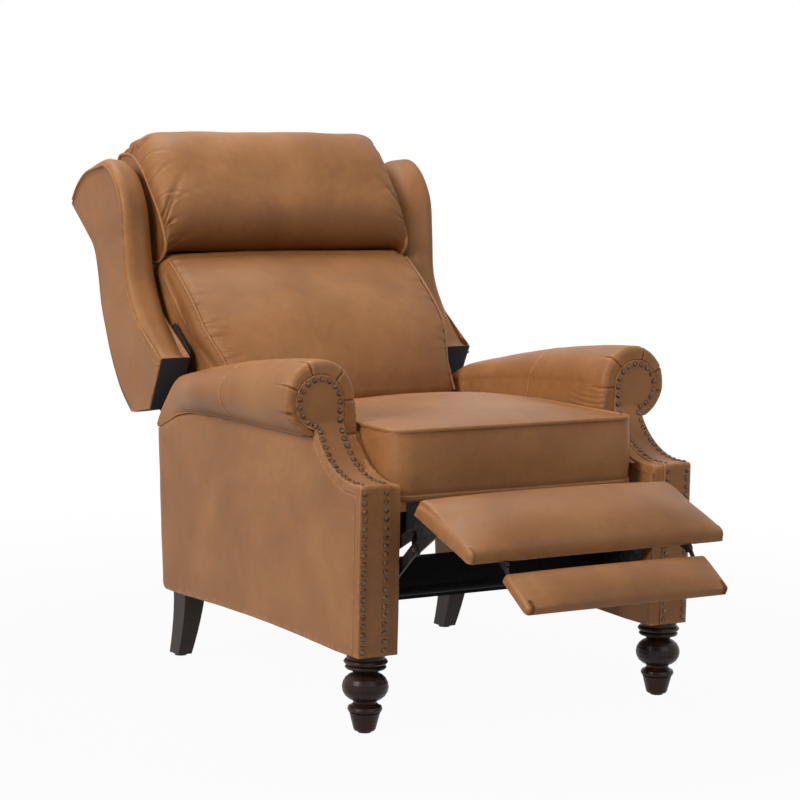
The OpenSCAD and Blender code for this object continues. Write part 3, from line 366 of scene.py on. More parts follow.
def clouded(name, dark, light, rough, marks, stops, spread, bump, stretch=None, **more):
    """A finish whose colour, gloss and relief all follow one noise."""
    tree, shader = new_material(name)
    place = add(tree, "TexCoord").outputs["Object"]
    if stretch:
        place = add(tree, "Mapping", Vector=place, Scale=stretch)
    cloud = add(tree, "TexNoise", Vector=place, **marks)
    give(tree, shader, Base_Color=ramp(tree, cloud, [(stops[0], dark), (stops[1], light)]),
         Roughness=add(tree, "MapRange", Value=cloud, To_Min=rough - spread[0],
                       To_Max=rough + spread[1]),
         Normal=add(tree, "Bump", Height=cloud, Strength=bump[0], Distance=bump[1]), **more)


def streaked_wood(name, dark, light, rough, coat, stretch):
    """Wood with rings drawn out along its grain, and a faint relief from the same noise."""
    marks = {"Scale": 9.0, "Detail": 8.0, "Roughness": 0.62, "Distortion": 0.7}
    clouded(name, dark, light, rough, marks, (0.32, 0.68), (0.06, 0.08), (0.12, 0.0006), stretch,
            Coat_Weight=coat, Coat_Roughness=0.16, Specular_IOR_Level=0.16)


def finished_metal(name, dark, light, rough, metallic, scale=220.0, gleam=0.5):
    """Metal with cloudy wear: paint rubbed thin, or bronze with a dark patina."""
    marks = {"Scale": scale, "Detail": 5.0, "Roughness": 0.6}
    clouded(name, dark, light, rough, marks, (0.36, 0.66), (0.08, 0.12), (0.1, 0.0004),
            Metallic=metallic, Specular_IOR_Level=gleam)


def black_weave(name, threads, dark, light):
    """Thin woven cloth, such as the dust cover under a chair."""
    tree, shader = new_material(name)
    woven = add(tree, "Group", node_tree=weave, Threads=threads).outputs
    give(tree, shader, Base_Color=ramp(tree, woven["Shade"], [(0.1, dark), (0.9, light)]),
         Normal=add(tree, "Bump", Height=woven["Height"], Strength=0.4, Distance=0.0005),
         Roughness=add(tree, "MapRange", Value=woven["Shade"], To_Min=0.8, To_Max=0.95))


streaked_wood("espresso_wood", (0.010, 0.0042, 0.0024), (0.036, 0.0145, 0.0080), 0.36, 0.10,
              (6, 6, 0.7))
streaked_wood("frame_wood", (0.36, 0.23, 0.12), (0.52, 0.37, 0.21), 0.6, 0.0, (1.2, 8, 8))
finished_metal("nail_bronze", (0.055, 0.034, 0.022), (0.20, 0.125, 0.075), 0.36, 0.9)
finished_metal("black_steel", grey(0.006), (0.014, 0.013, 0.013), 0.5, 0.0, 60.0, 0.05)
finished_metal("dark_steel", grey(0.018), (0.05, 0.048, 0.046), 0.42, 0.40, 90.0, 0.2)
finished_metal("bright_steel", grey(0.42), grey(0.6), 0.28, 1.0, 120.0)
finished_metal("glide_plastic", (0.018, 0.018, 0.019), (0.034, 0.034, 0.035), 0.55, 0.0, 400.0)
black_weave("black_cloth", 1400.0, (0.006, 0.006, 0.007), (0.03, 0.03, 0.032))
lined = ["left_arm_box", "right_arm_box", "seat_front_rail", "seat_side_rails"]
for row in frame["record"]["subparts"]:
    solid = node[row["node"]]
    slot = "caramel_leather" if row["node"] in lined else row["material_slot"]
    solid.data.materials.clear()
    solid.data.materials.append(finish[slot])
print("finishes", len(finish))

# %% [markdown]
# The upholstery is built from rings: closed cross-sections that follow one another along a
# cushion, as a pattern cutter's sections do. A skin over many close rings is smooth, and a
# fold or a seam is a small move of its points along the surface's own normals.

# %% Skins over rings


def unit(ways):
    return ways / np.maximum(np.linalg.norm(ways, axis=-1, keepdims=True), 1e-9)


def normals_of(rings):
    """The outward direction at each point of an array of rings (ring, point, xyz)."""
    along = np.gradient(rings, axis=0)
    around = (np.roll(rings, -1, 1) - np.roll(rings, 1, 1)) / 2
    return unit(np.cross(around, along))


def clouds_on(points, scale, seed=0.0):
    """Smooth noise at each point, from -1 to 1."""
    flat = np.asarray(points).reshape(-1, 3) * scale + seed
    return np.array([noise.noise(Vector(p)) for p in flat]).reshape(np.shape(points)[:-1])


def bell(x, width):
    return np.exp(-(np.asarray(x) / width) ** 2)


def smooth_step(x, low, high):
    t = np.clip((np.asarray(x, float) - low) / (high - low), 0, 1)
    return t * t * (3 - 2 * t)


def mark_edges(mesh, wear, low=22.0, high=95.0):
    """Writes how sharply each point stands out, so the leather's wear knows its edges."""
    count = len(mesh.vertices)
    co, n = np.empty(count * 3), np.empty(count * 3)
    mesh.vertices.foreach_get("co", co)
    mesh.vertices.foreach_get("normal", n)
    co, n = co.reshape(-1, 3), n.reshape(-1, 3)
    pairs = np.empty(len(mesh.edges) * 2, int)
    mesh.edges.foreach_get("vertices", pairs)
    a, b = pairs.reshape(-1, 2).T
    step = co[b] - co[a]
    far = np.maximum((step ** 2).sum(1), 1e-8)
    total, times = np.zeros(count), np.zeros(count)
    for i, way in ((a, 1), (b, -1)):
        np.add.at(total, i, -2 * way * (n[i] * step).sum(1) / far)
        np.add.at(times, i, 1)
    bent = np.clip((total / np.maximum(times, 1) - low) / (high - low), 0, 1) * wear
    edge = mesh.attributes.new("edge", "FLOAT", "POINT")
    edge.data.foreach_set("value", bent.astype(np.float32))


def sewn(name, points, faces, body, fold=None, slot="caramel_leather", wear=1.0):
    """A piece from points and faces, with its masks, its finish and the body it rides on."""
    mesh = bpy.data.meshes.new(name)
    mesh.from_pydata(np.asarray(points).reshape(-1, 3).tolist(), [], faces)
    mesh.update()
    piece = bpy.data.objects.new(name, mesh)
    bpy.context.scene.collection.objects.link(piece)
    mesh.polygons.foreach_set("use_smooth", [True] * len(mesh.polygons))
    mark_edges(mesh, wear)
    # the painted shade mask: where each piece's colour is darkened for shade in folds, seams and
    # under things
    made = mesh.attributes.new("fold", "FLOAT", "POINT")
    if fold is not None:
        values = np.zeros(len(mesh.vertices), np.float32)
        values[:np.size(fold)] = np.clip(np.ravel(fold), 0, 1)
        made.data.foreach_set("value", values)
    mesh.materials.append(finish[slot])
    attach(piece, body)
    return piece


def quads(m, n, start=0, closed=True):
    """Faces between m rows of n points, where each row is a closed ring or an open line."""
    i, j = np.meshgrid(np.arange(m - 1), np.arange(n if closed else n - 1), indexing="ij")
    a, b = start + i * n + j, start + i * n + (j + 1) % n
    return np.stack([a, b, b + n, a + n], -1).reshape(-1, 4)


def closed_ends(rings, shares, bulge=0.0):
    """Adds drawn-in rings at both ends, so that each end is a flat or slightly full face."""
    ends = []
    for ring, inner in ((rings[0], rings[1]), (rings[-1], rings[-2])):
        middle = ring.mean(0)
        way = np.array([np.sign((ring - inner).mean(0)[0] or 1), 0, 0])
        ends.append([middle + (ring - middle) * s + way * bulge * (1 - s * s) for s in shares])
    return np.concatenate([ends[0][::-1], rings, ends[1]])


def skin(name, rings, body, fold=None, flip=False, caps=(True, True), **more):
    """A piece over rings, with a small fan to close each end."""
    m, n, _ = rings.shape
    points = rings.reshape(-1, 3)
    faces = quads(m, n)
    faces = (faces[:, ::-1] if flip else faces).tolist()
    for cap, row, turn in ((caps[0], 0, not flip), (caps[1], m - 1, flip)):
        if cap:
            middle = len(points)
            points = np.vstack([points, rings[row].mean(0)])
            fan = [(middle, row * n + j, row * n + (j + 1) % n) for j in range(n)]
            faces += [f[::-1] for f in fan] if turn else fan
    return sewn(name, points, faces, body, fold, **more)


def piping(name, path, body, radius=0.0038, closed=False, sides=10):
    """A leather covered cord along a path, as is sewn into a cushion's edge seam."""
    path = np.asarray(path, float)
    ways = np.roll(path, -1, 0) - np.roll(path, 1, 0) if closed else np.gradient(path, axis=0)
    ways = unit(ways)
    side = np.cross(ways[0], (0.3, 0.2, 0.93))
    a = np.arange(sides) * 2 * math.pi / sides
    rings = []
    for place, way in zip(path, ways):
        side = unit(side - way * (side @ way))
        other = np.cross(way, side)
        rings.append(place + radius * (np.outer(np.cos(a), side) + np.outer(np.sin(a), other)))
    rings = np.array(rings)
    if closed:
        apart = [np.linalg.norm(np.roll(rings[0], s, 0) - rings[-1], axis=1).sum()
                 for s in range(sides)]
        rings = np.concatenate([rings, np.roll(rings[:1], int(np.argmin(apart)), 1)])
    return skin(name, rings, body, caps=(not closed, not closed), wear=0.22)


def resampled(path, step=0.006, closed=False, count=0):
    """Points an even step apart, or a fixed count of them, along a line."""
    path = np.asarray(path, float)
    if closed:
        path = np.vstack([path, path[:1]])
    far = np.r_[0, np.cumsum(np.linalg.norm(np.diff(path, axis=0), axis=1))]
    count = count or max(3, int(far[-1] / step))
    at = np.linspace(0, far[-1], count, endpoint=not closed)
    return np.stack([np.interp(at, far, path[:, k]) for k in range(path.shape[1])], 1)


def curve_through(points, steps=12):
    """A smooth open line through the given points."""
    p = np.asarray(points, float)
    p = np.vstack([p[0], p, p[-1]])
    out = []
    for i in range(1, len(p) - 2):
        a, b, c, d = p[i - 1:i + 3]
        for t in np.arange(steps) / steps:
            out.append((2 * b + (c - a) * t + (2 * a - 5 * b + 4 * c - d) * t ** 2
                        + (3 * b - a - 3 * c + d) * t ** 3) / 2)
    return np.array(out + [p[-2]])


def mirrored(rings, side):
    """The same rings for the left (1) or the right (-1) of the chair."""
    return rings * (side, 1, 1)


def cushion_rings(make, half, radius, levels=56, steps=9):
    """Rings across a cushion, close together and set in where its sides turn."""
    turn = np.radians(np.linspace(90, 0, steps))
    low = [(-half + radius * (1 - math.sin(a)), radius * (1 - math.cos(a))) for a in turn]
    level = [(x, 0) for x in np.linspace(-half + radius, half - radius, levels)[1:-1]]
    return np.array([make(x, d) for x, d in [*low, *level, *[(-x, d) for x, d in low[::-1]]]])


SIDES = (("left", 1), ("right", -1))
print("helpers ready")

# %% [markdown]
# Board-backed leather (side panels, facings, front boxings, the outside back) is stretched
# over wood, so it keeps the model's shape. It gets softened edges, where the hide turns
# over the wood, and a shallow unevenness from the padding beneath.

# %% Leather stretched over boards


def stretched(source, body, turn, wave, mesh_size=0.017):
    """A soft-edged leather copy of a board-backed node."""
    form = bmesh.new()
    form.from_mesh(node[source].data)
    bmesh.ops.remove_doubles(form, verts=form.verts, dist=2e-5)
    bmesh.ops.dissolve_limit(form, angle_limit=math.radians(1.5), verts=form.verts,
                             edges=form.edges)
    sharp = [e for e in form.edges
             if len(e.link_faces) == 2 and e.calc_face_angle(0) > math.radians(38)]
    bmesh.ops.bevel(form, geom=sharp, offset=turn, segments=3, profile=0.5, affect="EDGES",
                    clamp_overlap=True)
    bmesh.ops.triangulate(form, faces=form.faces)
    for _ in range(7):
        long = [e for e in form.edges if e.calc_length() > mesh_size]
        if not long:
            break
        bmesh.ops.subdivide_edges(form, edges=long, cuts=1, use_grid_fill=False)
        bmesh.ops.triangulate(form, faces=[f for f in form.faces if len(f.verts) > 3])
    form.normal_update()
    points = np.array([v.co for v in form.verts])
    ways = np.array([v.normal for v in form.verts])
    points = points + ways * (clouds_on(points, 17.0, 3.1) * wave)[:, None]
    faces = [[v.index for v in f.verts] for f in form.faces]
    form.free()
    name = source.replace("_inner", "").replace("_panel", "") + "_leather"
    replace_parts(sewn(name, points, faces, body), source)


for side, _ in SIDES:
    stretched(side + "_side_panel", "base", turn=0.003, wave=0.0007)
    stretched(side + "_facing", "base", turn=0.002, wave=0.0003)
    stretched(side + "_inner_boxing", "base", turn=0.004, wave=0.0008)
stretched("outside_back", "back", turn=0.003, wave=0.0012)
print("board-backed leather on three boards a side and the outside back")

# %% [markdown]
# Each arm is one hide pulled over the roll and down the inside. In front it is eased round
# the scroll in five stitched pleats, and a stitched seam crosses the roll a hand's length
# back, where two hides join. Both are grooves with a small fullness beside them.

# %% Arm covers
ROLL_X, ROLL_R, ARM_REAR, SCROLL_Y = 0.351, 0.073, 0.445, 0.1725
PAD_X, PAD_Z, ARM_IN, OUT_X, GAP = 0.272, 0.446, 0.283, 0.378, 0.0003
SEAM = np.array([(-172.5, 519.0), (169.1, 518.0), (293.7, 511.2), (356.0, 498.8), (427.2, 470.2),
                 (445.0, 462.9)])                # the outside seam, y and z in millimetres
CLOSE_START, CLOSE_IN = 0.355, 0.0115            # where the roll closes, and how far inwards
HEAD = (0.354, 0.579, 0.0513)                    # the scroll's facing: x, z, radius
FACING_FOOT, FACING_NECK, NECK_X = 0.519, -0.0498, 0.3653
FRONT_Y, FRONT_TURN = 0.1716, 0.012
PLEATS = np.radians([-14, 28, 74, 133, 180])
CROSS_SEAM_Y = 0.075


def roll_shape(y):
    """The roll's top and its outside seam at y: it falls and closes towards the rear."""
    low = np.interp(y * 1000, SEAM[:, 0], SEAM[:, 1]) / 1000 + GAP
    run = np.clip((y + SCROLL_Y) / (ARM_REAR + SCROLL_Y) / 0.94, 0, 1)
    top = 0.656 - 0.092 * run ** 1.5
    end = (1 - np.clip((y - CLOSE_START) / (ARM_REAR - CLOSE_START), 0, 1) ** 2) ** 0.8
    return low, low + (top - low) * end


def closing_at(y):
    return smooth_step(y, 0.16, 0.42)


def roll_ring(y, d):
    """One section of the cover, set in by d: under the pad, up the seam, over, down inside."""
    low, top = roll_shape(y)
    top -= d
    seam_x = OUT_X - CLOSE_IN * closing_at(y)
    wide = ROLL_R - (ROLL_R - (seam_x - ROLL_X) - 0.002) * closing_at(y)
    r = ROLL_R - d
    tall = min(r, (top - low) * 0.53)
    mid = top - tall
    seam_turn = math.acos((seam_x - ROLL_X) / wide)
    out, face = seam_x - d, PAD_X + d / 2
    side, under = ARM_IN - GAP, PAD_Z + d / 2
    foot = [(face, under), ((face + ARM_IN) / 2, under), (side, under), (side, (PAD_Z + low) / 2),
            (side, low), ((ARM_IN + out) / 2, low), (out, low)]
    seam = [(ROLL_X + (wide - d) * math.cos(a),
             mid - (mid - low) * math.sin(a) / math.sin(seam_turn))
            for a in seam_turn * (1 - np.arange(1, 15) / 15)]
    over = [(ROLL_X + (wide - d if a < math.pi / 2 else r) * math.cos(a),
             mid + tall * math.sin(a)) for a in np.radians(np.arange(0, 181, 1.5))]
    knee = (ROLL_X - r + 0.7 * (face - ROLL_X + r), mid + 0.22 * (PAD_Z - mid))
    hip = (face, mid + 0.42 * (PAD_Z - mid))
    inside = curve_through([over[-1], knee, hip, (face, PAD_Z + 0.03)], 9)[1:-1]
    down = [(face, z) for z in np.linspace(PAD_Z + 0.03, under, 9)[:-1]]
    return np.array([(x, y, z) for x, z in [*foot, *seam, *over, *inside.tolist(), *down]])


def facing_edge(x, y, z):
    """Where the cover's point ends on the facing: on the scroll's round or its straight neck."""
    dx, dz = x - HEAD[0], z - HEAD[1]
    if z < FACING_FOOT:
        return ARM_IN - GAP, y, z
    if dz <= 0 and dx <= -1e-6:
        return HEAD[0] - HEAD[2], y, z
    if dz <= FACING_NECK and dx >= 1e-6:
        return NECK_X, y, z
    f = HEAD[2] / math.hypot(dx, dz)
    return HEAD[0] + dx * f, y, HEAD[1] + dz * f


def arm_cover(label, side):
    """The hide of one arm, its welt, and the number of its points."""
    long = ARM_REAR * 0.991
    ends = [long - (long - CLOSE_START) * (1 - math.cos(a))
            for a in np.linspace(0, math.pi / 2, 16)]
    parts = [(0.34, 0.09, 18), (0.0840, 0.0660, 16), (0.05, -0.118, 14),
             (-0.122, FRONT_TURN - FRONT_Y, 18)]
    rings = [roll_ring(y, 0) for y in [*ends, *np.concatenate([np.linspace(*p) for p in parts])]]
    rings += [roll_ring(FRONT_TURN * (1 - math.sin(a)) - FRONT_Y, FRONT_TURN * (1 - math.cos(a)))
              for a in np.radians(np.linspace(0, 90, 10))[1:]]
    face = rings[-1]
    inner = np.array([facing_edge(*p) for p in face])
    rings += [face + (inner - face) * s for s in (0.25, 0.5, 0.75, 1.0)]
    rings = np.array(rings + [inner + (0, 0.0015, 0), inner + (0, 0.006, 0)])
    ways = normals_of(rings)
    ways[-6:-2] = (0, -1, 0)
    ways[-2:] = 0
    x, y, z = np.moveaxis(rings, -1, 0)
    angle, far = np.arctan2(z - HEAD[1], x - HEAD[0]), np.hypot(z - HEAD[1], x - HEAD[0])
    front_share = smooth_step(-y, 0.118, 0.158) * (z > 0.52)
    groove, full = np.zeros(angle.shape), np.zeros(angle.shape)
    for pleat in PLEATS + (0.02 if side > 0 else -0.03):
        apart = ((angle - pleat + math.pi) % (2 * math.pi) - math.pi) * far
        groove += bell(apart, 0.0016)
        full += bell(apart - 0.006, 0.006) * 0.8 + bell(apart + 0.006, 0.005) * 0.5
    across = y - CROSS_SEAM_Y - 0.004 * np.sin(angle * 2)
    on_roll = z > 0.50
    seam_cut = bell(across, 0.0012) * on_roll
    swell = (bell(across - 0.005, 0.004) + 0.5 * bell(across + 0.004, 0.003)) * on_roll
    wrinkle = np.sin(z * 520 + 9 * clouds_on(rings, 9.0)) * bell(x - PAD_X, 0.012)
    wrinkle *= smooth_step(-y, 0.02, 0.14) * (z < 0.57) * (z > 0.455)
    move = -0.0021 * groove * front_share + 0.0011 * full * front_share
    move += (-0.0013 * seam_cut + 0.0007 * swell + 0.0006 * wrinkle
             + 0.0010 * clouds_on(rings, 11.0, 5.0))
    # painted shade in the scroll's pleats, along the cross seam and in the wrinkles under the roll
    fold = np.clip(groove * front_share * 0.85 + seam_cut * 0.55
                   + np.clip(-wrinkle, 0, 1) * 0.3, 0, 1)
    rings = chair(mirrored(rings + ways * move[..., None], side))
    cover = skin(label + "_arm_leather", rings, "base", fold, flip=side < 0, caps=(True, False))
    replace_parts(cover, label + "_arm_cover")
    line = np.array([(OUT_X - CLOSE_IN * closing_at(y) - 0.001, y, roll_shape(y)[0] + 0.0005)
                     for y in np.linspace(-0.158, ARM_REAR * 0.97, 90)])
    piping(label + "_arm_welt", chair(mirrored(line, side)), "base", radius=0.0026)
    return len(cover.data.vertices)


print("arm leather points", [arm_cover(label, side) for label, side in SIDES])

# %% [markdown]
# A gather is where a wide cover is sewn to a shorter seam: many small creases start at the
# stitches, run straight away from them and die out. One helper makes them for every
# cushion. It is given the way along the seam and the way in from it, and a fixed list of
# creases, each with its own place, depth, width, length and slant.

# %% Gathers


def creases(seed, count, low, high, depth, width, length, slant):
    """A repeatable list of creases between two places along a seam."""
    pick = np.random.RandomState(seed)
    at = np.linspace(low, high, count) + pick.uniform(-0.4, 0.4, count) * (high - low) / count
    return [(a, depth * pick.uniform(0.35, 1), width * pick.uniform(0.6, 1.3),
             length * pick.uniform(0.4, 1.2), slant * pick.uniform(-1, 1)) for a in at]


def gathered(along, inward, rows):
    """(depth, mask) of the creases at points given by their place along and in from a seam."""
    depth = np.zeros(np.shape(along))
    mask = np.zeros(np.shape(along))
    away = np.clip(inward, 0, None)
    for at, deep, wide, long, slant in rows:
        spread = wide * (1 + away / long * 0.9)
        place, dying = along - at - slant * away, np.exp(-(away / long) ** 1.4)
        line = bell(place, spread) * dying * smooth_step(inward, -0.012, 0.0)
        ridge = bell(place - spread * 1.6, spread) * dying
        depth += deep * (0.6 * ridge * smooth_step(inward, -0.012, 0.0) - line)
        mask = np.maximum(mask, line * min(1, deep / 0.0022))
    return depth, mask


def creased(along, inward, *shape):
    """(depth, mask) of a seam's own repeatable creases."""
    return gathered(along, inward, creases(*shape))


print("creases", len(creases(1, 5, 0, 1, 0.001, 0.002, 0.03, 0.15)))

# %% [markdown]
# A wing is a board with thin padding: flat on its outside, where a welt follows its front
# edge, and rolled soft on its front and inside. It is one skin of outlines, each drawn in
# a little at the two faces, more on the soft side than on the welted one.

# %% Wings
WING = np.array((0.210, 0.715))         # depth and height of the wing's pattern
WING_IN, WING_THICK = 0.300, 0.067      # x of its inside face, and how far out it reaches
END_STEPS = (0.985, 0.93, 0.84, 0.7, 0.5, 0.25)
wing_front = curve_through(WING * [
    (0.007, 0.3435), (0.098, 0.378), (0.217, 0.494), (0.248, 0.613), (0.14, 0.735),
    (0.045, 0.84), (0.075, 0.925), (0.19, 0.985), (0.34, 1.004)], 14)
wing_rear = curve_through(WING * [
    (1, 0.976), (0.86, 0.875), (0.786, 0.775), (0.915, 0.63), (0.965, 0.5), (0.946, 0.383),
    (0.831, 0.288)], 14)
wing_crown = curve_through(WING * [
    (0.34, 1.004), (0.46, 1.010), (0.62, 1.013), (0.82, 1.002), (1, 0.976)], 8)
corners = WING * [(0.007, 0.3435), (0.463, 0.248), (0.831, 0.288)]
outline = np.vstack([wing_front, wing_crown[1:-1], wing_rear, corners[1:2]])[::-1]
outline = resampled(outline, 0.0042, closed=True)


def drawn_in(line, d):
    """A closed anticlockwise outline set in by d, a single number or one for each point."""
    way = unit(np.roll(line, -2, 0) - np.roll(line, 2, 0))
    return line + np.stack([-way[:, 1], way[:, 0]], 1) * np.reshape(d, (-1, 1))


def wing_place(line, t):
    """Points of an outline at thickness t from the wing's inside face."""
    w, v = line.T
    x = WING_IN + t + 0.007 * np.clip(v / WING[1], 0, 1) ** 2 * t / WING_THICK
    forward = (0.020 * t / WING_THICK * smooth_step(v, 0.42, 0.60)
               * (1 - smooth_step(w, 0.08, 0.19)))
    return np.stack([x, w - forward, v], 1)


def softness(line):
    """How soft the roll is along an outline: full in front, none behind."""
    return 1 - smooth_step(line[:, 0], 0.060, 0.150)


def beside(points, p, q):
    """How far points lie from the straight line between p and q."""
    along = np.clip((points - p) @ (q - p) / ((q - p) @ (q - p)), 0, 1)
    return np.linalg.norm(points - p - along[:, None] * (q - p), axis=1)


open_below = np.minimum(beside(outline, *corners[:2]), beside(outline, *corners[1:])) < 0.0012
crest = np.where(open_below, 0.0, softness(outline))
turn = np.radians(np.linspace(90, 0, 13))
rows = [(0.030 * (1 - math.sin(a)), 1 - math.cos(a), 0) for a in turn]
rows += [(t, 0, 0) for t in np.linspace(0.034, 0.046, 4)]
rows += [(WING_THICK - 0.019 * (1 - math.sin(a)), 0, 1 - math.cos(a)) for a in turn[::-1]]
rings_drawn = closed_ends(np.array([wing_place(drawn_in(
    outline, inner * (0.003 + 0.024 * crest) + outer * (0.002 + 0.013 * crest)), t)
    for t, inner, outer in rows]), END_STEPS)
first, last = len(END_STEPS), len(END_STEPS) + len(rows)
for label, side in SIDES:
    push = clouds_on(rings_drawn, 13.0, 2.0 + side) * 0.0014
    push[:first] += 0.004 * np.array([0.55, 0.8, 1.0, 0.8, 0.5, 0.15])[:, None]
    rings = rings_drawn + normals_of(rings_drawn) * push[..., None]
    # painted shade in the seam beside the welt, round the edge of the outer face
    fold = np.zeros(push.shape)
    fold[last - 2:last + 1] = np.array([0.3, 0.9, 0.5])[:, None] * ~open_below
    piece = skin(label + "_wing_leather", on_back(mirrored(rings, side)), "back", fold,
                 flip=side < 0)
    piece.data.materials.append(finish["black_cloth"])
    for row in range(first, last - 5):
        for j in np.flatnonzero(open_below & np.roll(open_below, -1)):
            piece.data.polygons[row * len(outline) + int(j)].material_index = 1
    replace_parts(piece, label + "_wing")
    welt = resampled(np.vstack([wing_front[4:], wing_crown[1:-3]]))
    way = unit(np.gradient(welt, axis=0))
    out = (0.0025 + 0.0135 * softness(welt))[:, None]
    welt = wing_place(welt + np.stack([way[:, 1], -way[:, 0]], 1) * out, WING_THICK - 0.0002)
    piping(label + "_wing_welt", on_back(mirrored(welt, side)), "back", radius=0.0030)
    rear = resampled(wing_rear[12:])
    line = np.stack([np.full(len(rear), WING_IN - 0.0002), rear[:, 0] - 0.0015, rear[:, 1]], 1)
    piping(label + "_back_welt", on_back(mirrored(line, side)), "back", radius=0.0032)
print("wing leather points", len(piece.data.vertices))

# %% [markdown]
# The back cushion is a plump box cushion, narrower between the arms than between the
# wings. Its side seams are piped, and the face is a little too wide for them, so short
# creases run in from the piping. Its fullness is drawn into the sections.

# %% Back cushion
BACK_REAR, BACK_LOW, BACK_HIGH, BACK_HALF = 0.0972, 0.106, 0.492, 0.290
ARM_HALF = 0.262                        # half its width between the arms
BACK_TURN, BACK_LIP = 0.026, 0.016      # radius of its lower and upper front edges


def back_half(v):
    return ARM_HALF + (BACK_HALF - ARM_HALF) * smooth_step(v, 0.170, 0.300)


def back_face(v, u):
    """The front face's place at height v, at the share u of the half width."""
    h = np.clip((v - BACK_LOW) / (BACK_HIGH - BACK_LOW), 0, 1)
    lean = 0.080 * np.clip((v - 0.200) / 0.270, 0, None) ** 1.8
    return lean - 0.062 - 0.026 * np.sin(math.pi * h) ** 0.6 * (1 - abs(u) ** 2.4)


def back_ring(x, d):
    """A section of the back cushion at x, set in by d."""
    u, r, q = x / BACK_HALF, BACK_TURN, BACK_LIP
    rear, low = BACK_REAR - d, BACK_LOW + d
    high = BACK_HIGH - d + 0.006 * (1 - abs(u) ** 3)
    lip = float(back_face(BACK_HIGH, u)) + d
    toe = float(back_face(BACK_LOW + r, u)) + d + r
    ring = [(toe + r * math.cos(a), low + r + r * math.sin(a))
            for a in np.radians(np.linspace(180, 270, 10))]
    ring += [(w, low) for w in np.linspace(toe, rear, 9)[1:]]
    ring += [(rear, v) for v in np.linspace(low, high, 26)[1:]]
    ring += [(w, high) for w in np.linspace(rear, lip + q, 6)[1:]]
    ring += [(lip + q + q * math.cos(a), high - q + q * math.sin(a))
             for a in np.radians(np.linspace(90, 180, 7))[1:]]
    ring += [(float(back_face(v, u)) + d, v) for v in np.linspace(high - q, low + r, 74)[1:-1]]
    return np.array([(u * float(back_half(v)), w, v) for w, v in ring])


rings = closed_ends(cushion_rings(back_ring, BACK_HALF, BACK_TURN), (0.9, 0.7, 0.4), 0.004)
ways = normals_of(rings)
x, w, v = np.moveaxis(rings, -1, 0)
from_side = back_half(v) * 0.974 - abs(x)
facing_out = np.clip(-ways[..., 1], 0, 1) * (w < 0.07)
move = clouds_on(rings, 7.0, 1.0) * 0.0022 + clouds_on(rings, 19.0, 4.0) * 0.0007
# painted shade in the creases that run in from the piping
fold = np.zeros(x.shape)
for way, seed in ((1, 11), (-1, 12)):
    deep, mask = creased(v, from_side, seed, 15, 0.14, 0.47, 0.0019, 0.0032, 0.030, 0.5)
    on = (x * way > 0) * smooth_step(facing_out, 0.1, 0.5)
    move += deep * on
    fold = np.maximum(fold, mask * on * 0.4)
deep, _ = creased(x, v - BACK_LOW - 0.010, 21, 16, -0.25, 0.25, 0.0014, 0.005, 0.03, 0.4)
move += deep * facing_out
# painted shade on the lowest part of the face, just above the seat
fold = np.maximum(fold, 0.40 * smooth_step(0.205 - v, 0, 0.075) * facing_out)
piece = skin("back_cushion_leather", on_back(rings + ways * move[..., None]), "back", fold)
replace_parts(piece, "back_cushion")
for label, side in SIDES:
    v, u = np.linspace(0.468, 0.122, 90), 0.978
    line = np.stack([side * (back_half(v) * u), back_face(v, u) + 0.0068, v], 1)
    piping(label + "_back_piping", on_back(line), "back", radius=0.0034)
print("back cushion points", len(piece.data.vertices))

# %% [markdown]
# The head pillow is a fat bolster with an end panel set in on each side. Its cover is
# gathered hard onto the piped end seams, most of all at the upper corners, where a few
# deep pleats are laid one by one: each has its place on the seam, a shift along it, and then
# the depth, width, length and slant that every crease has.

# %% Head pillow
HEAD_MID, HEAD_HALF = np.array((BACK_REAR - 0.059, 0.628)), (0.060, 0.137)
PILLOW_X, PILLOW_TURN = 0.288, 0.215    # the end seams, and where the shape starts to change
ROUND, RINGS = 320, 124
PILLOW_ENDS = (0.94, 0.85, 0.7, 0.5, 0.25)
PILLOW_PLEATS = [
    ((0.118, 0.752), 0, 0.010, 0.0042, 0.035, -0.1),
    ((0.094, 0.752), 0, 0.012, 0.0046, 0.040, -0.2),
    ((0.068, 0.737), 0, 0.013, 0.0055, 0.050, -0.35),
    ((0.009, 0.530), 0, 0.008, 0.0026, 0.016, 0.0),
    ((0.009, 0.530), -0.012, 0.0035, 0.0050, 0.030, -1.5),
    ((0.009, 0.530), -0.030, 0.003, 0.0060, 0.028, -1.2)]

turn = np.radians(np.arange(0, 360, 2))
MIDDLE = HEAD_MID + HEAD_HALF * np.stack(
    [np.sign(f) * abs(f) ** (2 / 2.5) for f in (np.cos(turn), np.sin(turn))], 1)
MIDDLE[:, 1] = np.maximum(MIDDLE[:, 1], HEAD_MID[1] + 0.9 * (MIDDLE[:, 1] - HEAD_MID[1]))
MIDDLE[:, 0] -= 0.010 * bell(MIDDLE[:, 1] - 0.560, 0.055) * (MIDDLE[:, 0] < HEAD_MID[0])
MIDDLE = resampled(MIDDLE, closed=True, count=ROUND)
END = resampled(curve_through([
    (0.097, 0.630), (0.098, 0.690), (0.112, 0.722), (0.126, 0.742), (0.110, 0.757),
    (0.083, 0.747), (0.056, 0.726), (0.036, 0.688), (0.024, 0.644), (0.014, 0.600),
    (0.008, 0.560), (0.008, 0.524), (0.013, 0.500), (0.030, 0.488), (0.058, 0.486),
    (0.084, 0.502), (0.096, 0.560), (0.097, 0.630)], 10)[:-1], closed=True, count=ROUND)


def pillow_ring(x):
    """A section of the pillow at x: full in the middle, a leaning teardrop at the end seams."""
    s = min(1, max(0, (abs(x) - PILLOW_TURN) / (PILLOW_X - PILLOW_TURN)))
    share = 1 - (1 - s ** 2.6) ** 0.42
    full = 1 + 0.035 * (1 - (x / PILLOW_X) ** 2)
    line = (MIDDLE - HEAD_MID) * full + HEAD_MID
    line = line + (END - line) * share
    return np.column_stack([np.full(ROUND, x), np.minimum(line[:, 0], 0.128), line[:, 1]])


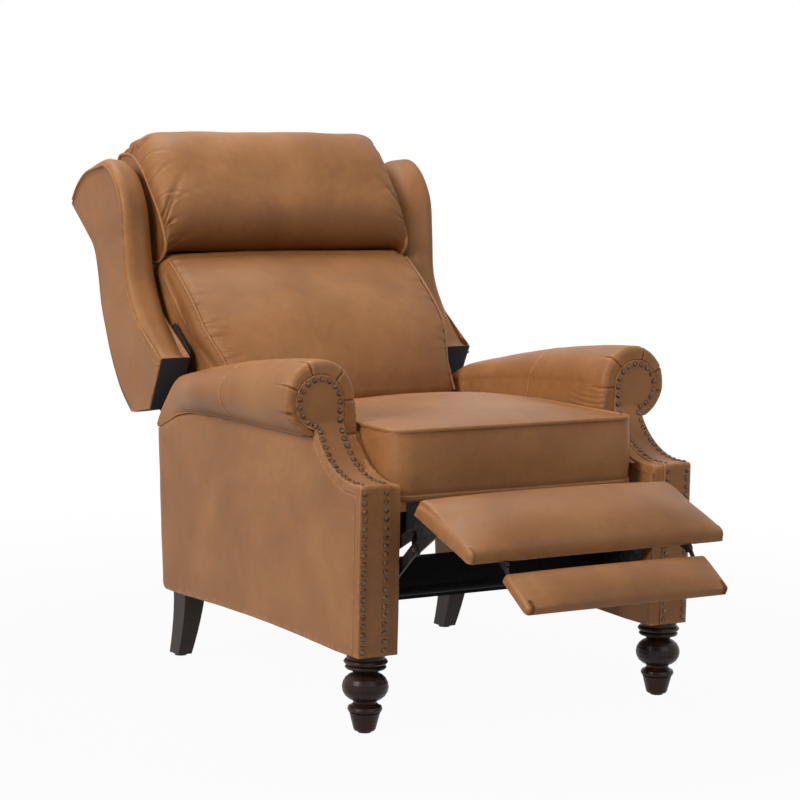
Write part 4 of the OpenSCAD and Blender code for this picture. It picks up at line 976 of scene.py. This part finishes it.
reach = (PILLOW_X * np.sin(np.radians(np.linspace(-90, 90, RINGS))) * 0.5
         + np.linspace(-1, 1, RINGS) * PILLOW_X * 0.5)
rings = closed_ends(np.array([pillow_ring(x) for x in reach]), PILLOW_ENDS, -0.005)
ways = normals_of(rings)
x, w, v = np.moveaxis(rings, -1, 0)
around = np.cumsum(np.linalg.norm(np.diff(MIDDLE, axis=0, prepend=MIDDLE[:1]), axis=1))
pleats = [(around[int(np.argmin(np.hypot(*(END - place).T)))] + shift, *shape)
          for place, shift, *shape in PILLOW_PLEATS]
length = around[-1] + 0.005
around = np.broadcast_to(around, x.shape)
seam_x = PILLOW_X - 0.002
move = clouds_on(rings, 6.0, 7.0) * 0.0030 + clouds_on(rings, 16.0, 9.0) * 0.0012
fold, inside = np.zeros(x.shape), np.zeros(x.shape)
inside[len(PILLOW_ENDS):-len(PILLOW_ENDS)] = 1
for way, seed in ((1, 31), (-1, 34)):
    inward = seam_x - x * way
    deep, mask = creased(around, inward, seed, 22, 0, length, 0.0024, 0.0042, 0.045, 0.5)
    pleat_deep, pleat_mask = gathered(around, inward, pleats)
    on = (x * way > 0) * inside
    sewn_deep = deep * (0.55 + 0.45 * bell(v - 0.752, 0.040)) + pleat_deep
    move += sewn_deep * on * smooth_step(inward, 0.0, 0.004)
    # painted shade in the gathers and the pleats at the end seams
    fold = np.maximum(fold, np.clip(np.maximum(mask * 0.3, pleat_mask * 0.9) * on, 0, 1))
# painted shade on the lower front of the pillow, which faces down to the back cushion
fold = np.maximum(fold, 0.50 * smooth_step(0.590 - v, 0, 0.090) * (w < HEAD_MID[0] + 0.02))
piece = skin("head_pillow_leather", on_back(rings + ways * move[..., None]), "back", fold)
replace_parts(piece, "head_pillow")
for label, side in SIDES:
    ring = mirrored(pillow_ring(PILLOW_X) + (0.0005, 0, 0), side)
    piping(label + "_pillow_piping", on_back(ring), "back", radius=0.0034, closed=True)
print("head pillow points", len(piece.data.vertices))

# %% [markdown]
# The seat is a crowned box cushion: a top panel, a boxing strip in front and at the sides,
# and a welt sewn into each of the two seams between them. It sinks towards the back.

# %% Seat cushion
SEAT_HALF, SEAT_FRONT, SEAT_REAR, SEAT_LOW = 0.2695, 0.291, 0.285, 0.4245
SEAT_TURN, SEAT_SEAM = 0.042, 0.5295    # radius of its front corners, height of the top seam
SEAT_DRAW = 0.004 / SEAT_HALF           # how far its sides pull in between the corners


def seat_top(v, u):
    fall = 0.081 * np.clip((v - 0.45) / 0.55, 0, 1) ** 3
    return 0.536 - fall + 0.020 * np.sin(math.pi * np.clip(v, 0, 1)) ** 0.6 * (1 - abs(u) ** 2.4)


def seat_low(v):
    """The cushion's underside: in front its boxing hangs over the rail by a finger's width."""
    return SEAT_LOW - 0.014 * (1 - smooth_step(v, 0.02, 0.04))


def seat_ring(x, d):
    """A section of the seat cushion at x, set in by d."""
    u = x / SEAT_HALF
    bend = max(0, abs(x) - SEAT_HALF + SEAT_TURN)
    front = SEAT_TURN - SEAT_FRONT - math.sqrt(SEAT_TURN ** 2 - bend ** 2)
    rear = SEAT_REAR - d
    high, end = float(seat_top(0, u)) - d, float(seat_top(1, u)) - d
    low, rear_low = float(seat_low(0)) + d / 2, SEAT_LOW + d / 2
    ring = [(v, float(seat_low(v)) + d / 2)
            for v in [0, 0.008, 0.016, 0.024, 0.03, 0.035, *np.linspace(0.04, 1, 20)]]
    ring += [(1, z) for z in np.linspace(rear_low, end, 6)[1:-1]]
    ring += [(v, max(rear_low + (end - rear_low) * 0.8, float(seat_top(v, u)) - d))
             for v in [*np.linspace(1, 0.06, 66), 0.045, 0.032, 0.021, 0.012, 0.005]]
    ring += [(-0.0123 * math.sin(math.pi * h), low + (high - low) * h)
             for h in np.linspace(1, 0, 26)[:-1]]
    return np.array([(x * (1 - SEAT_DRAW * math.sin(math.pi * min(1, max(0, v)))),
                      front + (rear - front) * v, z) for v, z in ring])


rings = closed_ends(cushion_rings(seat_ring, SEAT_HALF, 0.016), (0.9, 0.7, 0.4), 0.003)
ways = normals_of(rings)
x, y, z = np.moveaxis(rings, -1, 0)
on_front = np.clip(-ways[..., 1], 0, 1)
on_top = np.clip(ways[..., 2], 0, 1)
move = (clouds_on(rings, 6.0, 15.0) * 0.0020 * (0.4 + on_top)
        + clouds_on(rings, 21.0, 17.0) * 0.0006)
deep, mask = creased(x, SEAT_SEAM - z, 41, 30, -0.25, 0.25, 0.0009, 0.004, 0.020, 0.3)
move += deep * on_front
# painted shade in the creases of the front boxing and of the top's front edge
fold = mask * on_front * 0.3
deep, mask = creased(x, y + SEAT_FRONT - 0.006, 43, 26, -0.25, 0.25, 0.0012, 0.0045, 0.028, 0.4)
near_lip = on_top * (y < -0.2)
move += deep * near_lip
fold = np.maximum(fold, 0.25 * mask * near_lip)
# painted shade along the two welted seams of the boxing
for seam in (SEAT_SEAM, SEAT_LOW - 0.002):
    fold = np.maximum(fold, 0.5 * on_front * bell(z - seam, 0.0035))
piece = skin("seat_cushion_leather", chair(rings + ways * move[..., None]), "seat", fold)
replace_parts(piece, "seat_cushion")


def round_the_seat(height, out=-0.0012):
    """A welt's line down one side of the seat, round its front and back along the other."""
    corner, side = SEAT_TURN, SEAT_HALF - SEAT_TURN
    line = [(SEAT_HALF + out - 0.002, y) for y in np.linspace(0.268, -SEAT_FRONT + corner, 70)]
    line += [(side + (corner + out - 0.002 * (1 - s)) * math.cos(s * math.pi / 2),
              -SEAT_FRONT + corner - (corner + out) * math.sin(s * math.pi / 2))
             for s in np.linspace(0, 1, 18)]
    line = np.array(line + [(x, -SEAT_FRONT - out) for x in np.linspace(side, 0, 40)[1:]])
    whole = np.vstack([line, line[::-1][1:] * (-1, 1)])
    share = np.clip((whole[:, 1] + SEAT_FRONT) / (SEAT_FRONT + SEAT_REAR), 0, 1)
    drawn = 1 - SEAT_DRAW * np.sin(math.pi * share)
    return chair(np.stack([whole[:, 0] * drawn, whole[:, 1], height(share)], 1))


squashed = [
    piece,
    piping("seat_top_welt", round_the_seat(lambda v: seat_top(v, 1.0) - 0.0015), "seat",
           radius=0.0042),
    piping("seat_low_welt", round_the_seat(lambda v: seat_low(v) + 0.0055), "seat",
           radius=0.0042)]
for soft_piece in squashed:
    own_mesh(soft_piece)
print("seat cushion points", len(piece.data.vertices))

# %% [markdown]
# The footrest and its flipper are thin pads on boards. The leather is drawn over the
# board's edges and tacked beneath, where a black dust cloth closes it, and at each corner
# it is tucked into a small pleat.

# %% Footrest and flipper pads
CORNER, FLIPPER_ARM_X = 30, 0.200    # sharpness of a pad's corners, x of the folding arms


def pad_ring_maker(half, long, rim, thick, start, under, lift):
    """Sections of a pad: a rounded rim of leather round the board, and a soft crown above it.

    Below, the leather is lifted between its front and side rims, where the folded flipper lies.
    """
    def make(x, d):
        u = min(1, abs(x) / half)
        v = 0.5 - 0.5 * np.cos(np.linspace(math.pi, 0, 70))
        sides = abs(2 * v - 1) ** CORNER + u ** (CORNER * 2 * half / long)
        sides = np.clip(1 - sides, 0, 1) ** 0.5
        crown = (1 - abs(2 * v - 1) ** 2.5) ** 0.95 * (1 - u ** 3.0) ** 0.85
        side_rim = smooth_step(u, 0.962, 0.975)
        foot = under + lift * smooth_step(v, 0.5, 0.9) * (1 - side_rim)
        high = foot + rim * sides + (thick - foot - rim) * crown
        notch = smooth_step(abs(abs(x) - FLIPPER_ARM_X), 0.006, 0.012)
        shares = [0.01, 0.035, 0.06, 0.08, 0.088, 0.096, 0.104, 0.12, *np.linspace(0.15, 0.99, 20)]
        edge = np.maximum((1 - smooth_step(shares, 0.082, 0.100)) * notch, side_rim)
        ring = [*zip(shares, under + lift * (1 - edge)), *zip(v, high)]
        return np.array([(x, start + (long - d) + (2 * d - long) * s, h) for s, h in ring])
    return make


def padded_board(name, body, placed, source, seed, turn, **sizes):
    half, under, lift = sizes["half"], sizes["under"], sizes["lift"]
    rings = closed_ends(cushion_rings(pad_ring_maker(**sizes), half, turn, 92, 14),
                        (0.9, 0.6, 0.3))
    ways = normals_of(rings)
    x, s, h = np.moveaxis(rings, -1, 0)
    up_face = np.clip(ways[..., 2], 0, 1)
    move = (clouds_on(rings, 8.0, seed) * 0.0016 * up_face
            + clouds_on(rings, 23.0, seed) * 0.0004 * up_face)
    corner = (s > sizes["start"] + sizes["long"] - 0.02) * (h > under + 0.0005)
    corner = corner * (h < under + sizes["rim"] * 1.4)
    # painted shade in the two tucks of each corner pleat
    fold = np.zeros(x.shape)
    for apart in (0.0045, 0.0095):
        line = bell(half - turn * 0.4 - abs(x) - apart, 0.0011) * corner
        fold = np.maximum(fold, 0.8 * line)
        move -= 0.0012 * line
    rings = rings + ways * move[..., None]
    piece = skin(name, placed(rings), body, fold)
    piece.data.materials.append(finish["black_cloth"])
    flat = abs(rings[..., 2].ravel() - under - lift) < 0.0008
    below = [f for f in piece.data.polygons
             if f.normal.z < -0.6 and all(flat[min(k, flat.size - 1)] for k in f.vertices)]
    for f in below:
        f.material_index = 1
    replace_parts(piece, source)
    print(name, len(piece.data.vertices), "points,", len(below), "faces of dust cloth")


padded_board("footrest_leather", "footrest", on_foot, "footrest_pad", 51.0, 0.010, half=0.2785,
             long=0.192, rim=0.021, thick=0.046, start=-0.002, under=-0.0090, lift=0.0078)
padded_board("flipper_leather", "flipper", on_flip, "flipper_pad", 53.0, 0.008, half=0.218,
             long=0.091, rim=0.014, thick=0.0225, start=0.0240, under=-0.0090, lift=0)

# %% [markdown]
# Three cloths finish the inside: webbing straps across the back frame, a dust cloth behind
# each wing's open corner, and an apron under the seat's front rail. Each is a real sheet
# with the size it was cut to, held along its edges and slack by a millimetre or two.

# %% Webbing, dust cloths and apron


def cloth(name, patches, body, source, placed):
    """One object of one or more grids: (corner, along, across, sag way, sag, steps)."""
    points, faces = [], []
    for corner, along, across, way, sag, (m, n) in patches:
        s, t = np.meshgrid(np.linspace(0, 1, m), np.linspace(0, 1, n), indexing="ij")
        dip = (sag * np.sin(math.pi * s) * np.sin(math.pi * t))[..., None] * way
        grid = corner + s[..., None] * along + t[..., None] * across + dip
        faces += quads(m, n, len(points), closed=False).tolist()
        points += grid.reshape(-1, 3).tolist()
    piece = sewn(name, placed(points), faces, body, slot="black_cloth")
    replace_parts(piece, source)


straps = [((-0.26, 0.0985, share * WING[1] - 0.025), (0.52, 0, 0), (0, 0, 0.05), (0, -1, 0),
           0.0008, (30, 5)) for share in (0.273, 0.399, 0.524, 0.65, 0.776, 0.88)]
cloth("back_straps", straps, "back",
      "back_webbing", on_back)

low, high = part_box("seat_apron")
wide, tall = high.x - low.x, high.z - low.z
hang = [((low.x, (low.y + high.y) / 2, high.z), (wide, 0, 0), (0, 0, -tall), (0, 1, 0), 0.001,
         (40, 8))]
cloth("seat_apron_cloth", hang, "seat",
      "seat_apron", np.array)

corner = WING * [(0.038, 0.366), (0.214, 0.28), (0.486, 0.175), (0.69, 0.147), (0.75, 0.364),
                 (0.476, 0.476), (0.19, 0.476)]
line = resampled(corner, closed=True)
middle = line.mean(0)
wedge_points, wedge_faces = [], []
for side in (1, -1):
    start, n = len(wedge_points), len(line)
    for share in (1, 0.8, 0.6, 0.4, 0.2):
        ring = middle + (line - middle) * share
        wedge_points += [(side * (0.2945 - 0.0015 * (1 - share ** 2)), *p) for p in ring]
    wedge_points.append((side * 0.293, *middle))
    wedge_faces += quads(5, n, start).tolist()
    fan = start + 4 * n
    wedge_faces += [(fan + n, fan + j, fan + (j + 1) % n) for j in range(n)]
size = corner.max(0) - corner.min(0)
piece = sewn("corner_dust_cloths", on_back(wedge_points), wedge_faces, "back",
             slot="black_cloth")
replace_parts(piece, "side_cambric")

# %% Update the scene
bpy.context.view_layer.update()
